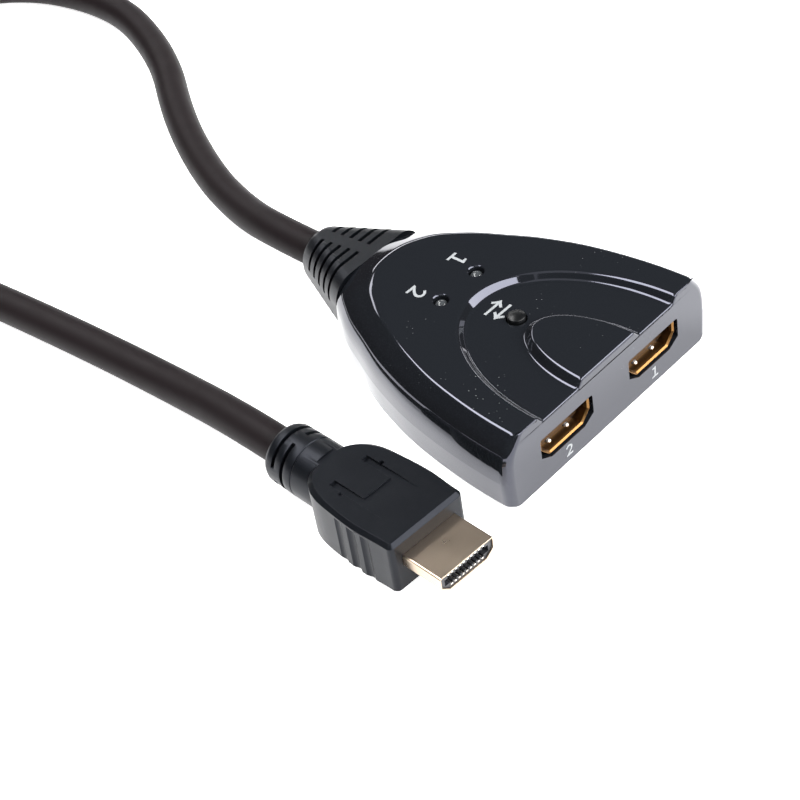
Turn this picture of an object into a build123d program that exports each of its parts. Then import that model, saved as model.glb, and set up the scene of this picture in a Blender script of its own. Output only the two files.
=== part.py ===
from build123d import *
import os
from math import pi, radians, tan

# Two-in, one-out switch box for video plugs, with its captive lead and plug.
# Millimetres. X runs across the box, Y along it, Z up. The two inputs face -Y, the lead leaves at +Y,
# and the origin is on the table under the middle of the box with its strain relief.

# Housing
HALF_WIDTH = 31.3
HOUSING_LENGTH = 61.5
APEX_PAST = 6.5
HEIGHT = 17.0
PARTING_Z = 6.5
SHOULDER_WIDTH = 3.85
SHOULDER_REACH = 11.0
WALL = 2.0
FLOOR = 1.8
SOLE_INSET = 0.35
SOLE_EDGE = 0.7
FRONT_CORNER = 2.0
INNER_CORNER = 1.0
TOP_EDGE = 0.6
LIP_THICKNESS = 0.8
LIP_HEIGHT = 1.2
LIP_GAP = 0.1
# Right half of the plan, front to tip, as shares of the half width and of the length.
outline_shares = ((0.93, 0.34), (0.8, 0.565), (0.66, 0.715), (0.5, 0.855), (0.3, 0.957), (0.0, 1.0))
# Curved shoulder of the cover: share of the cover's height, and share of the shoulder's width left.
shoulder_shares = ((0.33, 0.97), (0.56, 0.84), (0.77, 0.51), (0.93, 0.165), (0.985, 0.02), (1.0, -0.09))
# The same on the inside, in flat bands, and the share of a wall that its top draws in by.
hollow_shares = ((0.4, 0.95), (0.75, 0.55), (1.0, -0.09))
hollow_top_share = 0.5
# Places behind the input face as shares of the housing's length
tongue_share = 0.2927
capacitor_share = 0.3252
button_share = 0.3756
chip_share = 0.439
field_share = 0.548
lamp_share = 0.6203
rear_screw_share = 0.7041
board_share = 0.7642
# Height of the strain relief's neck as a share of the housing's height
neck_share = 0.5824
# Places and widths across as shares of the half width
port_pitch_share = 0.8658
relief_width_share = 0.8307
rear_screw_side_share = 0.4792
chip_side_share = 0.4633
capacitor_side_share = 0.3834

# Sunk field on the cover, with the raised tongue inside it
FIELD_SIDE = 6.05
FIELD_SLOPE = 1.3
TONGUE_HALF_WIDTH = 8.15
TONGUE_SLOPE = 1.4
field_depth_share = 0.1

# Input mouths in the front wall
PORT_Z = 8.0
MOUTH_WIDTH = 15.8
MOUTH_HEIGHT = 6.2
MOUTH_CHAMFER = 2.9
MOUTH_CORNER = 0.6

# Receptacles
SOCKET_WIDTH = 14.7
SOCKET_HEIGHT = 5.25
SOCKET_SIDE = 2.75
SOCKET_CHAMFER = 2.2
SOCKET_WALL = 0.35
SOCKET_CORNER = 0.5
SOCKET_SETBACK = 0.5
SOCKET_DEPTH = 11.2
SOCKET_FLARE = 0.25
BLOCK_DEPTH = 4.6
BLADE_WIDTH = 11.0
BLADE_THICKNESS = 1.9
BLADE_EDGE = 0.45
BLADE_SETBACK = 1.1
SOCKET_FIT = 0.05
TAB_WIDTH = 1.8
TAB_REACH = 1.0
TAB_SLOT_GAP = 0.15
LATCH_WIDTH = 1.9
LATCH_LENGTH = 4.6
LATCH_START = 1.6
LATCH_SPACING = 5.4
LATCH_DIP = 0.5
LATCH_SLOT_GAP = 0.25

# Contacts, in two rows
CONTACT_PITCH = 1.0
CONTACT_WIDTH = 0.45
CONTACT_THICKNESS = 0.15
CONTACT_SETBACK = 0.5
TAIL_LENGTH = 1.2
TAIL_THICKNESS = 0.2
upper_contacts = 10
lower_contacts = 9
tab_shares = (0.4, 0.85)
latch_knee_share = 0.35

# Circuit board and what stands on it
BOARD_THICKNESS = 1.6
BOARD_EDGE_GAP = 1.3
CHIP_SIZE = 9.0
CHIP_THICKNESS = 1.2
CHIP_STAND = 0.1
CHIP_EDGE = 0.2
PIN_PITCH = 0.8
PIN_WIDTH = 0.35
PIN_REACH = 1.1
PIN_THICKNESS = 0.15
CAP_LENGTH = 2.0
CAP_WIDTH = 1.25
CAP_HEIGHT = 0.9
CAP_EDGE = 0.15
CAP_PITCH = 3.2
caps_across = 3
caps_along = 4
pins_a_side = 9

# Select button and the switch under it
BUTTON_DIAMETER = 3.8
BUTTON_HOLE_GAP = 0.3
BUTTON_PROUD = 1.3
BUTTON_CROWN = 0.5
BUTTON_FLANGE = 6.4
BUTTON_FLANGE_THICKNESS = 0.9
BUTTON_FLANGE_GAP = 0.2
BUTTON_STEM = 3.0
SWITCH_SIZE = 6.0
SWITCH_CORNER = 0.5
PLUNGER_DIAMETER = 3.4
PLUNGER_FIT = 0.05
DOME_DIAMETER = 4.4
DOME_THICKNESS = 0.2
SWITCH_WELL = 4.8
SWITCH_LEG_WIDTH = 0.7
SWITCH_LEG_THICKNESS = 0.3
SWITCH_LEG_SPREAD = 4.5
SWITCH_LEG_REACH = 1.0
TOUCH_GAP = 0.05
# Heights of the switch and of its plunger's top as shares of the room under the button's flange, and what lies
# inside the switch as shares of its height.
switch_share = 0.513
plunger_share = 0.645
well_floor_share = 0.3142
switch_roof_share = 0.1714
dome_share = 0.2285

# Indicator lamps
LAMP_X = 5.45
LAMP_DIAMETER = 3.0
LAMP_LENGTH = 5.3
LAMP_RIM = 3.8
LAMP_RIM_THICKNESS = 1.0
LAMP_SETBACK = 0.3
LAMP_HOLE_GAP = 0.15
LAMP_DISH = 0.55
LAMP_LEAD = 0.5
LAMP_LEAD_SPACING = 2.54
LAMP_LEAD_REACH = 1.2
LEAD_HOLE_GAP = 0.2

# Screws and their bosses
SCREW_FRONT_Y = 7.0
SCREW_DIAMETER = 2.2
SCREW_LENGTH = 8.0
SCREW_HEAD = 4.2
SCREW_HEAD_HEIGHT = 1.3
SCREW_HEAD_EDGE = 0.4
SCREW_RECESS = 0.4
SCREW_SINK_GAP = 0.3
SCREW_CROSS_WIDTH = 0.55
SCREW_CROSS_DEPTH = 0.7
SCREW_THROUGH_GAP = 0.25
SCREW_PILOT_GAP = 0.02
BOSS_DIAMETER = 5.2
BOSS_GAP = 0.1

# Strain relief moulded on the lead
RELIEF_LENGTH = 18.5
RELIEF_AXIS_Z = 6.9
RELIEF_ROOT_DROP = 2.0
RELIEF_ROOT_BOTTOM = 0.6
RELIEF_ROOT_CORNER = 5.2
RELIEF_TAIL_WIDTH = 12.6
RELIEF_TAIL_HEIGHT = 12.3
RELIEF_TAIL_CORNER = 5.6
RELIEF_TAIL_SHIFT = 0.8
RELIEF_TAIL_ROUND = 1.6
RELIEF_GROOVE_FIRST = 4.0
RELIEF_GROOVE_PITCH = 2.6
RELIEF_GROOVE_WIDTH = 0.95
RELIEF_GROOVE_DEPTH = 1.0
RELIEF_WEB = 3.0
relief_grooves = 5
NECK_SIDE = 3.0
NECK_LENGTH = 8.0
NECK_CORNER = 4.0
NECK_GROOVE_WIDTH = 2.2
NECK_GROOVE_DEPTH = 1.1
NECK_GROOVE_START = 3.6
NECK_FIT = 0.3

# Lead
CABLE_DIAMETER = 7.8
BRAID_DIAMETER = 5.6
BRAID_LENGTH = 10.0
JACKET_FIT = 0.05
WIRE_DIAMETER = 0.8
WIRE_PITCH = 1.9
WIRE_EXIT = 1.5
WIRE_LANDING = 2.2
wires_laid = 6
wire_sides = 8

# Plug, whose own frame has Y back from its tip and Z up from the table
PLUG_TIP_X = -50.69
PLUG_TIP_Y = -46.55
PLUG_TURN = -3.3
PLUG_WIDTH = 13.9
PLUG_HEIGHT = 4.45
PLUG_SIDE = 2.6
PLUG_CHAMFER = 2.0
PLUG_WALL = 0.3
PLUG_CORNER = 0.45
PLUG_SHELL_OUT = 9.6
PLUG_SHELL_IN = 6.0
PLUG_FIT = 0.05
PLUG_LINER_SETBACK = 0.35
PLUG_SLOT_WIDTH = 11.3
PLUG_SLOT_HEIGHT = 1.5
PLUG_SLOT_DEPTH = 7.4
PLUG_TOOTH_WIDTH = 0.6
PLUG_TOOTH_DEPTH = 5.6
PLUG_TOOTH_HEIGHT = 0.75
HOOD_LENGTH = 27.2
HOOD_HEIGHT = 12.1
HOOD_FRONT_HALF = 9.5
HOOD_GRIP_HALF = 9.9
HOOD_GRIP = 8.0
HOOD_HIP_HALF = 9.5
HOOD_HIP = 16.5
HOOD_SHOULDER_HALF = 7.8
HOOD_SHOULDER = 23.7
HOOD_TAIL_HALF = 3.0
HOOD_FRONT_CORNER = 1.2
HOOD_INNER_CORNER = 0.4
HOOD_EDGE = 0.8
HOOD_SOLE_EDGE = 0.35
HOOD_FLUTE_RADIUS = 1.5
HOOD_FLUTE_DEPTH = 0.6
HOOD_FLUTE_FIRST = 6.6
HOOD_FLUTE_PITCH = 3.7
HOOD_FLUTE_RIM = 1.3
hood_flutes = 3
HOOD_NECK = 4.4
PANEL_HALF_WIDTH = 5.0
PANEL_START = 6.2
PANEL_END = 20.9
PANEL_DEPTH = 0.7
PAD_HALF_WIDTH = 3.45
PAD_START = 13.0
PIN_MARK = 1.0
PIN_MARK_X = 5.3
PIN_MARK_Y = 17.3
COLLAR_LENGTH = 8.0
COLLAR_ROOT = 13.0
COLLAR_TAIL = 12.8
COLLAR_ROUND = 1.2
COLLAR_EDGE = 0.2
COLLAR_SPIGOT = 9.0
COLLAR_SPIGOT_LENGTH = 6.0
COLLAR_GROOVE_FIRST = 2.6
COLLAR_GROOVE_PITCH = 2.5
COLLAR_GROOVE_WIDTH = 0.9
COLLAR_GROOVE_DEPTH = 0.8
COLLAR_WEB = 3.2
collar_grooves = 2
PLUG_RUN = 13.0

# Shapes shared by several pieces: a screw's cross, a rounded end, the arcs of the lead, the hood's tail
cross_share = 0.62
round_shares = ((0.65, 0.3), (1.0, 1.0))
run_share = 0.45
hood_tail_share = 0.2

# One overrun for every cut
PAST = 1.0

# Worked-out places
OVERALL_LENGTH = HOUSING_LENGTH + RELIEF_LENGTH
FRONT_Y = -OVERALL_LENGTH / 2
APEX_LENGTH = HOUSING_LENGTH + APEX_PAST
PLATEAU_HALF_WIDTH = HALF_WIDTH - SHOULDER_WIDTH
PLATEAU_LENGTH = APEX_LENGTH - SHOULDER_REACH
BOARD_TOP = PORT_Z - SOCKET_HEIGHT / 2
BOARD_BOTTOM = BOARD_TOP - BOARD_THICKNESS
BOARD_END = HOUSING_LENGTH * board_share
CEILING = HEIGHT - WALL
FIELD_DEPTH = HEIGHT * field_depth_share
FIELD_Z = HEIGHT - FIELD_DEPTH
FIELD_CEILING = FIELD_Z - WALL
FIELD_HALF_WIDTH = PLATEAU_HALF_WIDTH - FIELD_SIDE
FIELD_LENGTH = HOUSING_LENGTH * field_share
TONGUE_LENGTH = HOUSING_LENGTH * tongue_share
PORT_PITCH = HALF_WIDTH * port_pitch_share
CHIP_X = -HALF_WIDTH * chip_side_share
CHIP_Y = HOUSING_LENGTH * chip_share
CAP_X = HALF_WIDTH * capacitor_side_share
CAP_Y = HOUSING_LENGTH * capacitor_share
BUTTON_Y = HOUSING_LENGTH * button_share
LAMP_Y = HOUSING_LENGTH * lamp_share
SCREW_FRONT_X = ((PORT_PITCH + SOCKET_WIDTH) / 2 + HALF_WIDTH - WALL) / 2
SCREW_REAR_X = HALF_WIDTH * rear_screw_side_share
SCREW_REAR_Y = HOUSING_LENGTH * rear_screw_share
FLANGE_LOW = FIELD_CEILING - BUTTON_FLANGE_GAP - BUTTON_FLANGE_THICKNESS
SWITCH_ROOM = FLANGE_LOW - BOARD_TOP
SWITCH_HEIGHT = SWITCH_ROOM * switch_share
SWITCH_TOP = BOARD_TOP + SWITCH_HEIGHT
SWITCH_ROOF = SWITCH_HEIGHT * switch_roof_share
WELL_FLOOR = BOARD_TOP + SWITCH_HEIGHT * well_floor_share
DOME_HEIGHT = SWITCH_HEIGHT * dome_share
PLUNGER_TOP = BOARD_TOP + SWITCH_ROOM * plunger_share
RELIEF_ROOT_WIDTH = HALF_WIDTH * relief_width_share
RELIEF_ROOT_TOP = HEIGHT - RELIEF_ROOT_DROP
NECK_WIDTH = RELIEF_ROOT_WIDTH - NECK_SIDE * 2
NECK_HEIGHT = HEIGHT * neck_share
HALF_CABLE = CABLE_DIAMETER / 2
PLUG_PLACE = Location((PLUG_TIP_X, PLUG_TIP_Y, 0), (0, 0, PLUG_TURN))
PLUG_AXIS_Z = COLLAR_ROOT / 2
HOOD_LOW = PLUG_AXIS_Z - HOOD_HEIGHT / 2
HOOD_TOP = PLUG_AXIS_Z + HOOD_HEIGHT / 2
COLLAR_START = PLUG_SHELL_OUT + HOOD_LENGTH + HOOD_NECK
PLUG_LENGTH = COLLAR_START + COLLAR_LENGTH


# Places and profiles

def upright(x, depth, z):
    """Plane square to Y at a depth behind the input face; its own axes are X and Z."""
    return Plane(origin=(x, FRONT_Y + depth, z), x_dir=(1, 0, 0), z_dir=(0, -1, 0))


def along(sketch, x, start, end, z):
    """Bar of one section that runs from depth start to depth end."""
    return extrude(upright(x, start, z) * sketch, amount=start - end)


def level(x, depth, z):
    return Pos(x, FRONT_Y + depth, z)


def slab(start, end, low, high, half_width):
    """Block across the middle, between two depths and two heights."""
    block = Box(half_width * 2, end - start, high - low, align=(Align.CENTER, Align.MIN, Align.MIN))
    return level(0, start, low) * block


def outline(half_width, length, z, corner):
    """Plan of the housing at one height: straight input face, sides that draw in to a rounded tip."""
    side = [(half_width * across, FRONT_Y + length * back, z) for across, back in outline_shares]
    start = (half_width, FRONT_Y + corner, z)
    foot = (half_width - corner, FRONT_Y, z)
    right = Spline(start, *side, tangents=[(0, 1, 0), (-1, 0, 0)])
    turn = RadiusArc(foot, start, -corner)
    edges = [turn, right, mirror(right, Plane.YZ), mirror(turn, Plane.YZ), Line((-foot[0], foot[1], z), foot)]
    return make_face(edges)


def arch(half_width, length, z):
    """Half ellipse that stands on the input face."""
    half = Ellipse(half_width, length) & Pos(0, length, 0) * Rectangle((half_width + PAST) * 2, length * 2)
    return level(0, 0, z) * half


def d_profile(width, height, side, chamfer, corner):
    """Plug and socket outline: wide side up, lower corners cut off."""
    half = width / 2
    top = height / 2
    shape = make_face(Polyline(
        (-half, top), (half, top), (half, top - side), (half - chamfer, -top),
        (-half + chamfer, -top), (-half, top - side), close=True))
    return fillet(shape.vertices(), corner)


# Housing

def shoulder_sections(shares, half_width, length, top_half_width, top_length, high, corner):
    """Plans, one over the other, that draw in over a shoulder to the flat top."""
    sections = [outline(half_width, length, PARTING_Z, corner)]
    for rise, spread in shares:
        across = top_half_width + (half_width - top_half_width) * spread
        back = top_length + (length - top_length) * spread
        sections.append(outline(across, back, PARTING_Z + (high - PARTING_Z) * rise, corner))
    return sections


def cover_skin():
    form = loft(shoulder_sections(
        shoulder_shares, HALF_WIDTH, APEX_LENGTH, PLATEAU_HALF_WIDTH, PLATEAU_LENGTH, HEIGHT, FRONT_CORNER))
    return form & slab(-PAST, HOUSING_LENGTH, 0, HEIGHT + PAST, HALF_WIDTH + PAST)


def cover_hollow():
    draw = WALL * hollow_top_share
    form = loft(shoulder_sections(
        hollow_shares, HALF_WIDTH - WALL, APEX_LENGTH - WALL,
        PLATEAU_HALF_WIDTH - draw, PLATEAU_LENGTH - draw, CEILING, INNER_CORNER), ruled=True)
    return form & slab(WALL, APEX_LENGTH, 0, HEIGHT, HALF_WIDTH)


def sunk_field(spread, drop):
    """The field's volume; a spread and a drop of one wall give the skin's inner side."""
    past_share = PAST / FIELD_DEPTH
    low = arch(FIELD_HALF_WIDTH - FIELD_SLOPE + spread, FIELD_LENGTH - FIELD_SLOPE + spread, FIELD_Z - drop)
    high = arch(
        FIELD_HALF_WIDTH + FIELD_SLOPE * past_share + spread,
        FIELD_LENGTH + FIELD_SLOPE * past_share + spread, HEIGHT + PAST)
    return loft([low, high])


def raised_tongue():
    past_share = PAST / FIELD_DEPTH
    low = arch(TONGUE_HALF_WIDTH + TONGUE_SLOPE, TONGUE_LENGTH + TONGUE_SLOPE, FIELD_Z)
    high = arch(
        TONGUE_HALF_WIDTH - TONGUE_SLOPE * past_share,
        TONGUE_LENGTH - TONGUE_SLOPE * past_share, HEIGHT + PAST)
    return loft([low, high])


def screw_places():
    front = [(side * SCREW_FRONT_X, SCREW_FRONT_Y) for side in (-1, 1)]
    rear = [(side * SCREW_REAR_X, SCREW_REAR_Y) for side in (-1, 1)]
    return front + rear


def port_places():
    return [(1, PORT_PITCH / 2), (2, -PORT_PITCH / 2)]


def neck_rib(low, high):
    """Rib across the tail of a shell half, with the neck's opening cut in it."""
    start = HOUSING_LENGTH - NECK_GROOVE_START - NECK_GROOVE_WIDTH + NECK_FIT
    end = HOUSING_LENGTH - NECK_GROOVE_START - NECK_FIT
    opening = RectangleRounded(
        NECK_WIDTH - NECK_GROOVE_DEPTH * 2 + NECK_FIT * 2,
        NECK_HEIGHT - NECK_GROOVE_DEPTH * 2 + NECK_FIT * 2, NECK_CORNER - NECK_GROOVE_DEPTH + NECK_FIT)
    gap = along(opening, 0, start - PAST, end + PAST, RELIEF_AXIS_Z)
    return slab(start, end, low, high, HALF_WIDTH) - gap


def lamp_places():
    return [(1, LAMP_X), (2, -LAMP_X)]


def front_bevel(z, half_width):
    """Wedge that takes the sharp edge off the top of the input face at one height."""
    wedge = make_face(Polyline(
        (-PAST, PAST), (TOP_EDGE + PAST, PAST), (TOP_EDGE, 0), (0, -TOP_EDGE), (-PAST, -TOP_EDGE),
        close=True))
    side = Plane(origin=(-half_width, FRONT_Y, z), x_dir=(0, 1, 0), z_dir=(1, 0, 0))
    return extrude(side * wedge, amount=half_width * 2)


def top_cover():
    skin = cover_skin()
    skin = skin - (sunk_field(0, 0) - raised_tongue())
    skin = skin - front_bevel(HEIGHT, HALF_WIDTH)
    for side in (-1, 1):
        middle = side * (FIELD_HALF_WIDTH - FIELD_SLOPE + TONGUE_HALF_WIDTH + TONGUE_SLOPE) / 2
        half = (FIELD_HALF_WIDTH - FIELD_SLOPE - TONGUE_HALF_WIDTH - TONGUE_SLOPE) / 2
        skin = skin - Pos(middle, 0, 0) * front_bevel(FIELD_Z, half)
    hollow = cover_hollow() - sunk_field(WALL, WALL)
    cover = skin - hollow
    rib = neck_rib(PARTING_Z + LIP_GAP, HEIGHT) & hollow
    cover = cover + rib
    boss_top = CEILING + WALL / 2
    inside = hollow + slab(0, HOUSING_LENGTH, 0, PARTING_Z, HALF_WIDTH)
    for x, depth in screw_places():
        post = level(x, depth, BOARD_TOP + BOSS_GAP) * peg(BOSS_DIAMETER, boss_top - BOARD_TOP - BOSS_GAP)
        cover = cover + (post & inside)
        cover = cover - level(x, depth, BOARD_TOP) * peg(SCREW_DIAMETER + SCREW_PILOT_GAP * 2, SCREW_LENGTH)
    mouth = Rectangle(MOUTH_WIDTH, MOUTH_HEIGHT)
    mouth = fillet(mouth.vertices().sort_by(Axis.Y)[-2:], MOUTH_CORNER)
    for _, x in port_places():
        cover = cover - along(mouth, x, -PAST, WALL + PAST, PORT_Z)
    hole = Cylinder(BUTTON_DIAMETER / 2 + BUTTON_HOLE_GAP, WALL + PAST * 2)
    cover = cover - level(0, BUTTON_Y, FIELD_Z - WALL / 2) * hole
    for _, x in lamp_places():
        bore = Cylinder(LAMP_DIAMETER / 2 + LAMP_HOLE_GAP, WALL + PAST * 2)
        radius = LAMP_DIAMETER / 2 + LAMP_HOLE_GAP
        dish = Cone(radius, radius + LAMP_DISH, LAMP_DISH, align=(Align.CENTER, Align.CENTER, Align.MAX))
        cover = cover - level(x, LAMP_Y, HEIGHT - WALL / 2) * bore - level(x, LAMP_Y, HEIGHT) * dish
    return cover


def bottom_shell():
    outer = loft([
        outline(HALF_WIDTH - SOLE_INSET - SOLE_EDGE, APEX_LENGTH - SOLE_INSET, 0, FRONT_CORNER),
        outline(HALF_WIDTH - SOLE_INSET, APEX_LENGTH - SOLE_INSET, SOLE_EDGE, FRONT_CORNER),
        outline(HALF_WIDTH, APEX_LENGTH, PARTING_Z, FRONT_CORNER)], ruled=True)
    outer = outer & slab(-PAST, HOUSING_LENGTH, -PAST, HEIGHT, HALF_WIDTH + PAST)
    tub = extrude(outline(HALF_WIDTH - WALL, APEX_LENGTH - WALL, FLOOR, INNER_CORNER), amount=HEIGHT)
    tub = tub & slab(WALL, APEX_LENGTH, 0, HEIGHT, HALF_WIDTH)
    shell = outer - tub
    shell = shell + locating_lip() + (neck_rib(FLOOR, PARTING_Z - LIP_GAP) & tub)
    half = MOUTH_WIDTH / 2
    low = PORT_Z - MOUTH_HEIGHT / 2
    over = PARTING_Z + LIP_HEIGHT * 2
    mouth = make_face(Polyline(
        (-half, PARTING_Z), (-half + MOUTH_CHAMFER, low), (half - MOUTH_CHAMFER, low), (half, PARTING_Z),
        (half, over), (-half, over), close=True))
    for _, x in port_places():
        shell = shell - along(mouth, x, -PAST, WALL * 2, 0)
    for x, depth in screw_places():
        shell = shell + level(x, depth, FLOOR / 2) * peg(BOSS_DIAMETER, BOARD_BOTTOM - FLOOR / 2)
    sink = peg(SCREW_HEAD + SCREW_SINK_GAP * 2, SCREW_RECESS + SCREW_HEAD_HEIGHT + PAST)
    for x, depth in screw_places():
        shell = shell - level(x, depth, -PAST) * sink
        shell = shell - level(x, depth, 0) * peg(SCREW_DIAMETER + SCREW_THROUGH_GAP * 2, BOARD_TOP)
    return shell


def peg(diameter, height):
    """Round post that stands on its place."""
    return Cylinder(diameter / 2, height, align=(Align.CENTER, Align.CENTER, Align.MIN))


def locating_lip():
    """Low wall inside the parting line that keys the cover to the bottom shell."""
    out = WALL + LIP_GAP
    inner = out + LIP_THICKNESS
    low = PARTING_Z - LIP_HEIGHT
    bore = outline(HALF_WIDTH - inner, APEX_LENGTH - inner, low, INNER_CORNER)
    ring = extrude(outline(HALF_WIDTH - out, APEX_LENGTH - out, low, INNER_CORNER), amount=LIP_HEIGHT * 2)
    foot = extrude(outline(HALF_WIDTH, APEX_LENGTH, low, FRONT_CORNER), amount=LIP_HEIGHT)
    wall = ring + foot - extrude(bore, amount=LIP_HEIGHT * 2)
    reach = SCREW_FRONT_Y + BOSS_DIAMETER
    return wall & slab(reach, HOUSING_LENGTH - NECK_LENGTH, 0, HEIGHT, HALF_WIDTH - SOLE_INSET)


# Receptacles

def socket_profile(inset):
    return d_profile(
        SOCKET_WIDTH - inset * 2, SOCKET_HEIGHT - inset * 2, SOCKET_SIDE - inset,
        SOCKET_CHAMFER, SOCKET_CORNER)


def tab_places():
    """Depths of the two pairs of tabs that hold a receptacle in the board."""
    return [SOCKET_SETBACK + SOCKET_DEPTH * share for share in tab_shares]


def input_shell(x):
    """Drawn metal sleeve with flared lip, two spring windows in its roof and four tabs below."""
    start = SOCKET_SETBACK
    end = SOCKET_SETBACK + SOCKET_DEPTH
    sleeve = along(socket_profile(0), x, start, end, PORT_Z)
    sleeve = sleeve - along(socket_profile(SOCKET_WALL), x, start - PAST, end + PAST, PORT_Z)
    flare_out = SOCKET_FLARE * (1 + PAST / SOCKET_WALL)
    flare = loft([
        upright(x, start - PAST, PORT_Z) * socket_profile(SOCKET_WALL - flare_out),
        upright(x, start + SOCKET_WALL, PORT_Z) * socket_profile(SOCKET_WALL)], ruled=True)
    sleeve = sleeve - flare
    roof = PORT_Z + SOCKET_HEIGHT / 2
    for side in (-1, 1):
        middle = x + side * LATCH_SPACING / 2
        window = Box(LATCH_WIDTH + LATCH_SLOT_GAP * 2, LATCH_LENGTH + LATCH_SLOT_GAP, PAST)
        sleeve = sleeve - level(middle, start + LATCH_START + LATCH_LENGTH / 2, roof) * window
        sleeve = sleeve + latch(middle, start + LATCH_START + LATCH_SLOT_GAP, roof)
    for depth in tab_places():
        for side in (-1, 1):
            tab = Box(SOCKET_WALL, TAB_WIDTH, roof - SOCKET_SIDE / 2 - BOARD_BOTTOM + TAB_REACH,
                      align=(Align.CENTER, Align.CENTER, Align.MIN))
            edge = x + side * (SOCKET_WIDTH - SOCKET_WALL) / 2
            sleeve = sleeve + level(edge, depth, BOARD_BOTTOM - TAB_REACH) * tab
    return sleeve


def latch(x, start, roof):
    """Spring finger cut from the roof and dipped into the mouth."""
    root = LATCH_LENGTH + start
    knee = start + LATCH_LENGTH * latch_knee_share
    line = [(start, roof), (knee, roof - LATCH_DIP), (root, roof), (root, roof - SOCKET_WALL),
            (knee, roof - SOCKET_WALL - LATCH_DIP), (start, roof - SOCKET_WALL)]
    side = Plane(origin=(x - LATCH_WIDTH / 2, FRONT_Y, 0), x_dir=(0, 1, 0), z_dir=(1, 0, 0))
    return extrude(side * make_face(Polyline(*line, close=True)), amount=LATCH_WIDTH)


def input_insulator(x):
    """Moulded block at the back of the sleeve with the flat blade that carries the contacts."""
    end = SOCKET_SETBACK + SOCKET_DEPTH
    block = along(socket_profile(SOCKET_WALL + SOCKET_FIT), x, end - BLOCK_DEPTH, end, PORT_Z)
    blade = RectangleRounded(BLADE_WIDTH, BLADE_THICKNESS, BLADE_EDGE)
    return block + along(blade, x, SOCKET_SETBACK + BLADE_SETBACK, end - BLOCK_DEPTH, PORT_Z)


def contact_row(count, middle):
    return [middle + (index - (count - 1) / 2) * CONTACT_PITCH for index in range(count)]


def input_contacts(x):
    """Two rows of strips on the blade, and their tails on the board behind the block."""
    start = SOCKET_SETBACK + BLADE_SETBACK + CONTACT_SETBACK
    end = SOCKET_SETBACK + SOCKET_DEPTH
    seat = (Align.CENTER, Align.MIN, Align.MIN)
    strip = Box(CONTACT_WIDTH, end - BLOCK_DEPTH - start, CONTACT_THICKNESS, align=seat)
    tail = Box(CONTACT_WIDTH, TAIL_LENGTH, TAIL_THICKNESS, align=seat)
    over = PORT_Z + BLADE_THICKNESS / 2
    under = PORT_Z - BLADE_THICKNESS / 2 - CONTACT_THICKNESS
    strips = [level(place, start, over) * strip for place in contact_row(upper_contacts, x)]
    strips += [level(place, start, under) * strip for place in contact_row(lower_contacts, x)]
    strips += [level(place, end, BOARD_TOP) * tail for place in contact_row(upper_contacts, x)]
    return Compound(strips)


# Circuit board

def circuit_board():
    edge = WALL + BOARD_EDGE_GAP
    board = extrude(
        outline(HALF_WIDTH - edge, APEX_LENGTH - edge, BOARD_BOTTOM, INNER_CORNER), amount=BOARD_THICKNESS)
    board = board & slab(edge, BOARD_END, 0, HEIGHT, HALF_WIDTH)
    for x, depth in screw_places():
        board = board - level(x, depth, 0) * peg(SCREW_DIAMETER + SCREW_THROUGH_GAP * 2, HEIGHT)
    for _, x in port_places():
        for depth in tab_places():
            for side in (-1, 1):
                slot = Box(SOCKET_WALL + TAB_SLOT_GAP * 2, TAB_WIDTH + TAB_SLOT_GAP * 2, HEIGHT)
                board = board - level(x + side * (SOCKET_WIDTH - SOCKET_WALL) / 2, depth, BOARD_TOP) * slot
    for _, x in lamp_places():
        for side in (-1, 1):
            hole = peg(LAMP_LEAD * 2 + LEAD_HOLE_GAP, HEIGHT)
            board = board - level(x + side * LAMP_LEAD_SPACING / 2, LAMP_Y, 0) * hole
    return board


def switching_chip():
    body = Box(CHIP_SIZE, CHIP_SIZE, CHIP_THICKNESS, align=(Align.CENTER, Align.CENTER, Align.MIN))
    body = chamfer(body.faces().sort_by(Axis.Z)[-1].edges(), CHIP_EDGE)
    return level(CHIP_X, CHIP_Y, BOARD_TOP + CHIP_STAND) * body


def chip_pins():
    """Gull-wing legs along the four sides of the chip."""
    half = CHIP_SIZE / 2
    knee = CHIP_STAND + CHIP_THICKNESS / 2
    line = [(half, knee), (half + PIN_REACH / 2, knee), (half + PIN_REACH / 2, PIN_THICKNESS),
            (half + PIN_REACH, PIN_THICKNESS), (half + PIN_REACH, 0), (half + PIN_REACH / 2 - PIN_THICKNESS, 0),
            (half + PIN_REACH / 2 - PIN_THICKNESS, knee - PIN_THICKNESS), (half, knee - PIN_THICKNESS)]
    leg = extrude(Plane.XZ * make_face(Polyline(*line, close=True)), amount=PIN_WIDTH / 2, both=True)
    legs = []
    for quarter in range(4):
        for index in range(pins_a_side):
            shift = (index - (pins_a_side - 1) / 2) * PIN_PITCH
            legs.append(level(CHIP_X, CHIP_Y, BOARD_TOP) * Rot(0, 0, 90 * quarter) * Pos(0, shift, 0) * leg)
    return Compound(legs)


def board_capacitors():
    brick = Box(CAP_LENGTH, CAP_WIDTH, CAP_HEIGHT, align=(Align.CENTER, Align.CENTER, Align.MIN))
    brick = chamfer(brick.edges().filter_by(Axis.Y), CAP_EDGE)
    return Compound([level(CAP_X + column * CAP_PITCH, CAP_Y + row * CAP_PITCH, BOARD_TOP) * brick
                     for column in range(caps_across) for row in range(caps_along)])


# Select button and switch

def crown_radius(half_width, rise):
    """Radius of the ball whose cap has this half width and rise."""
    return (half_width * half_width + rise * rise) / (rise * 2)


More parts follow.
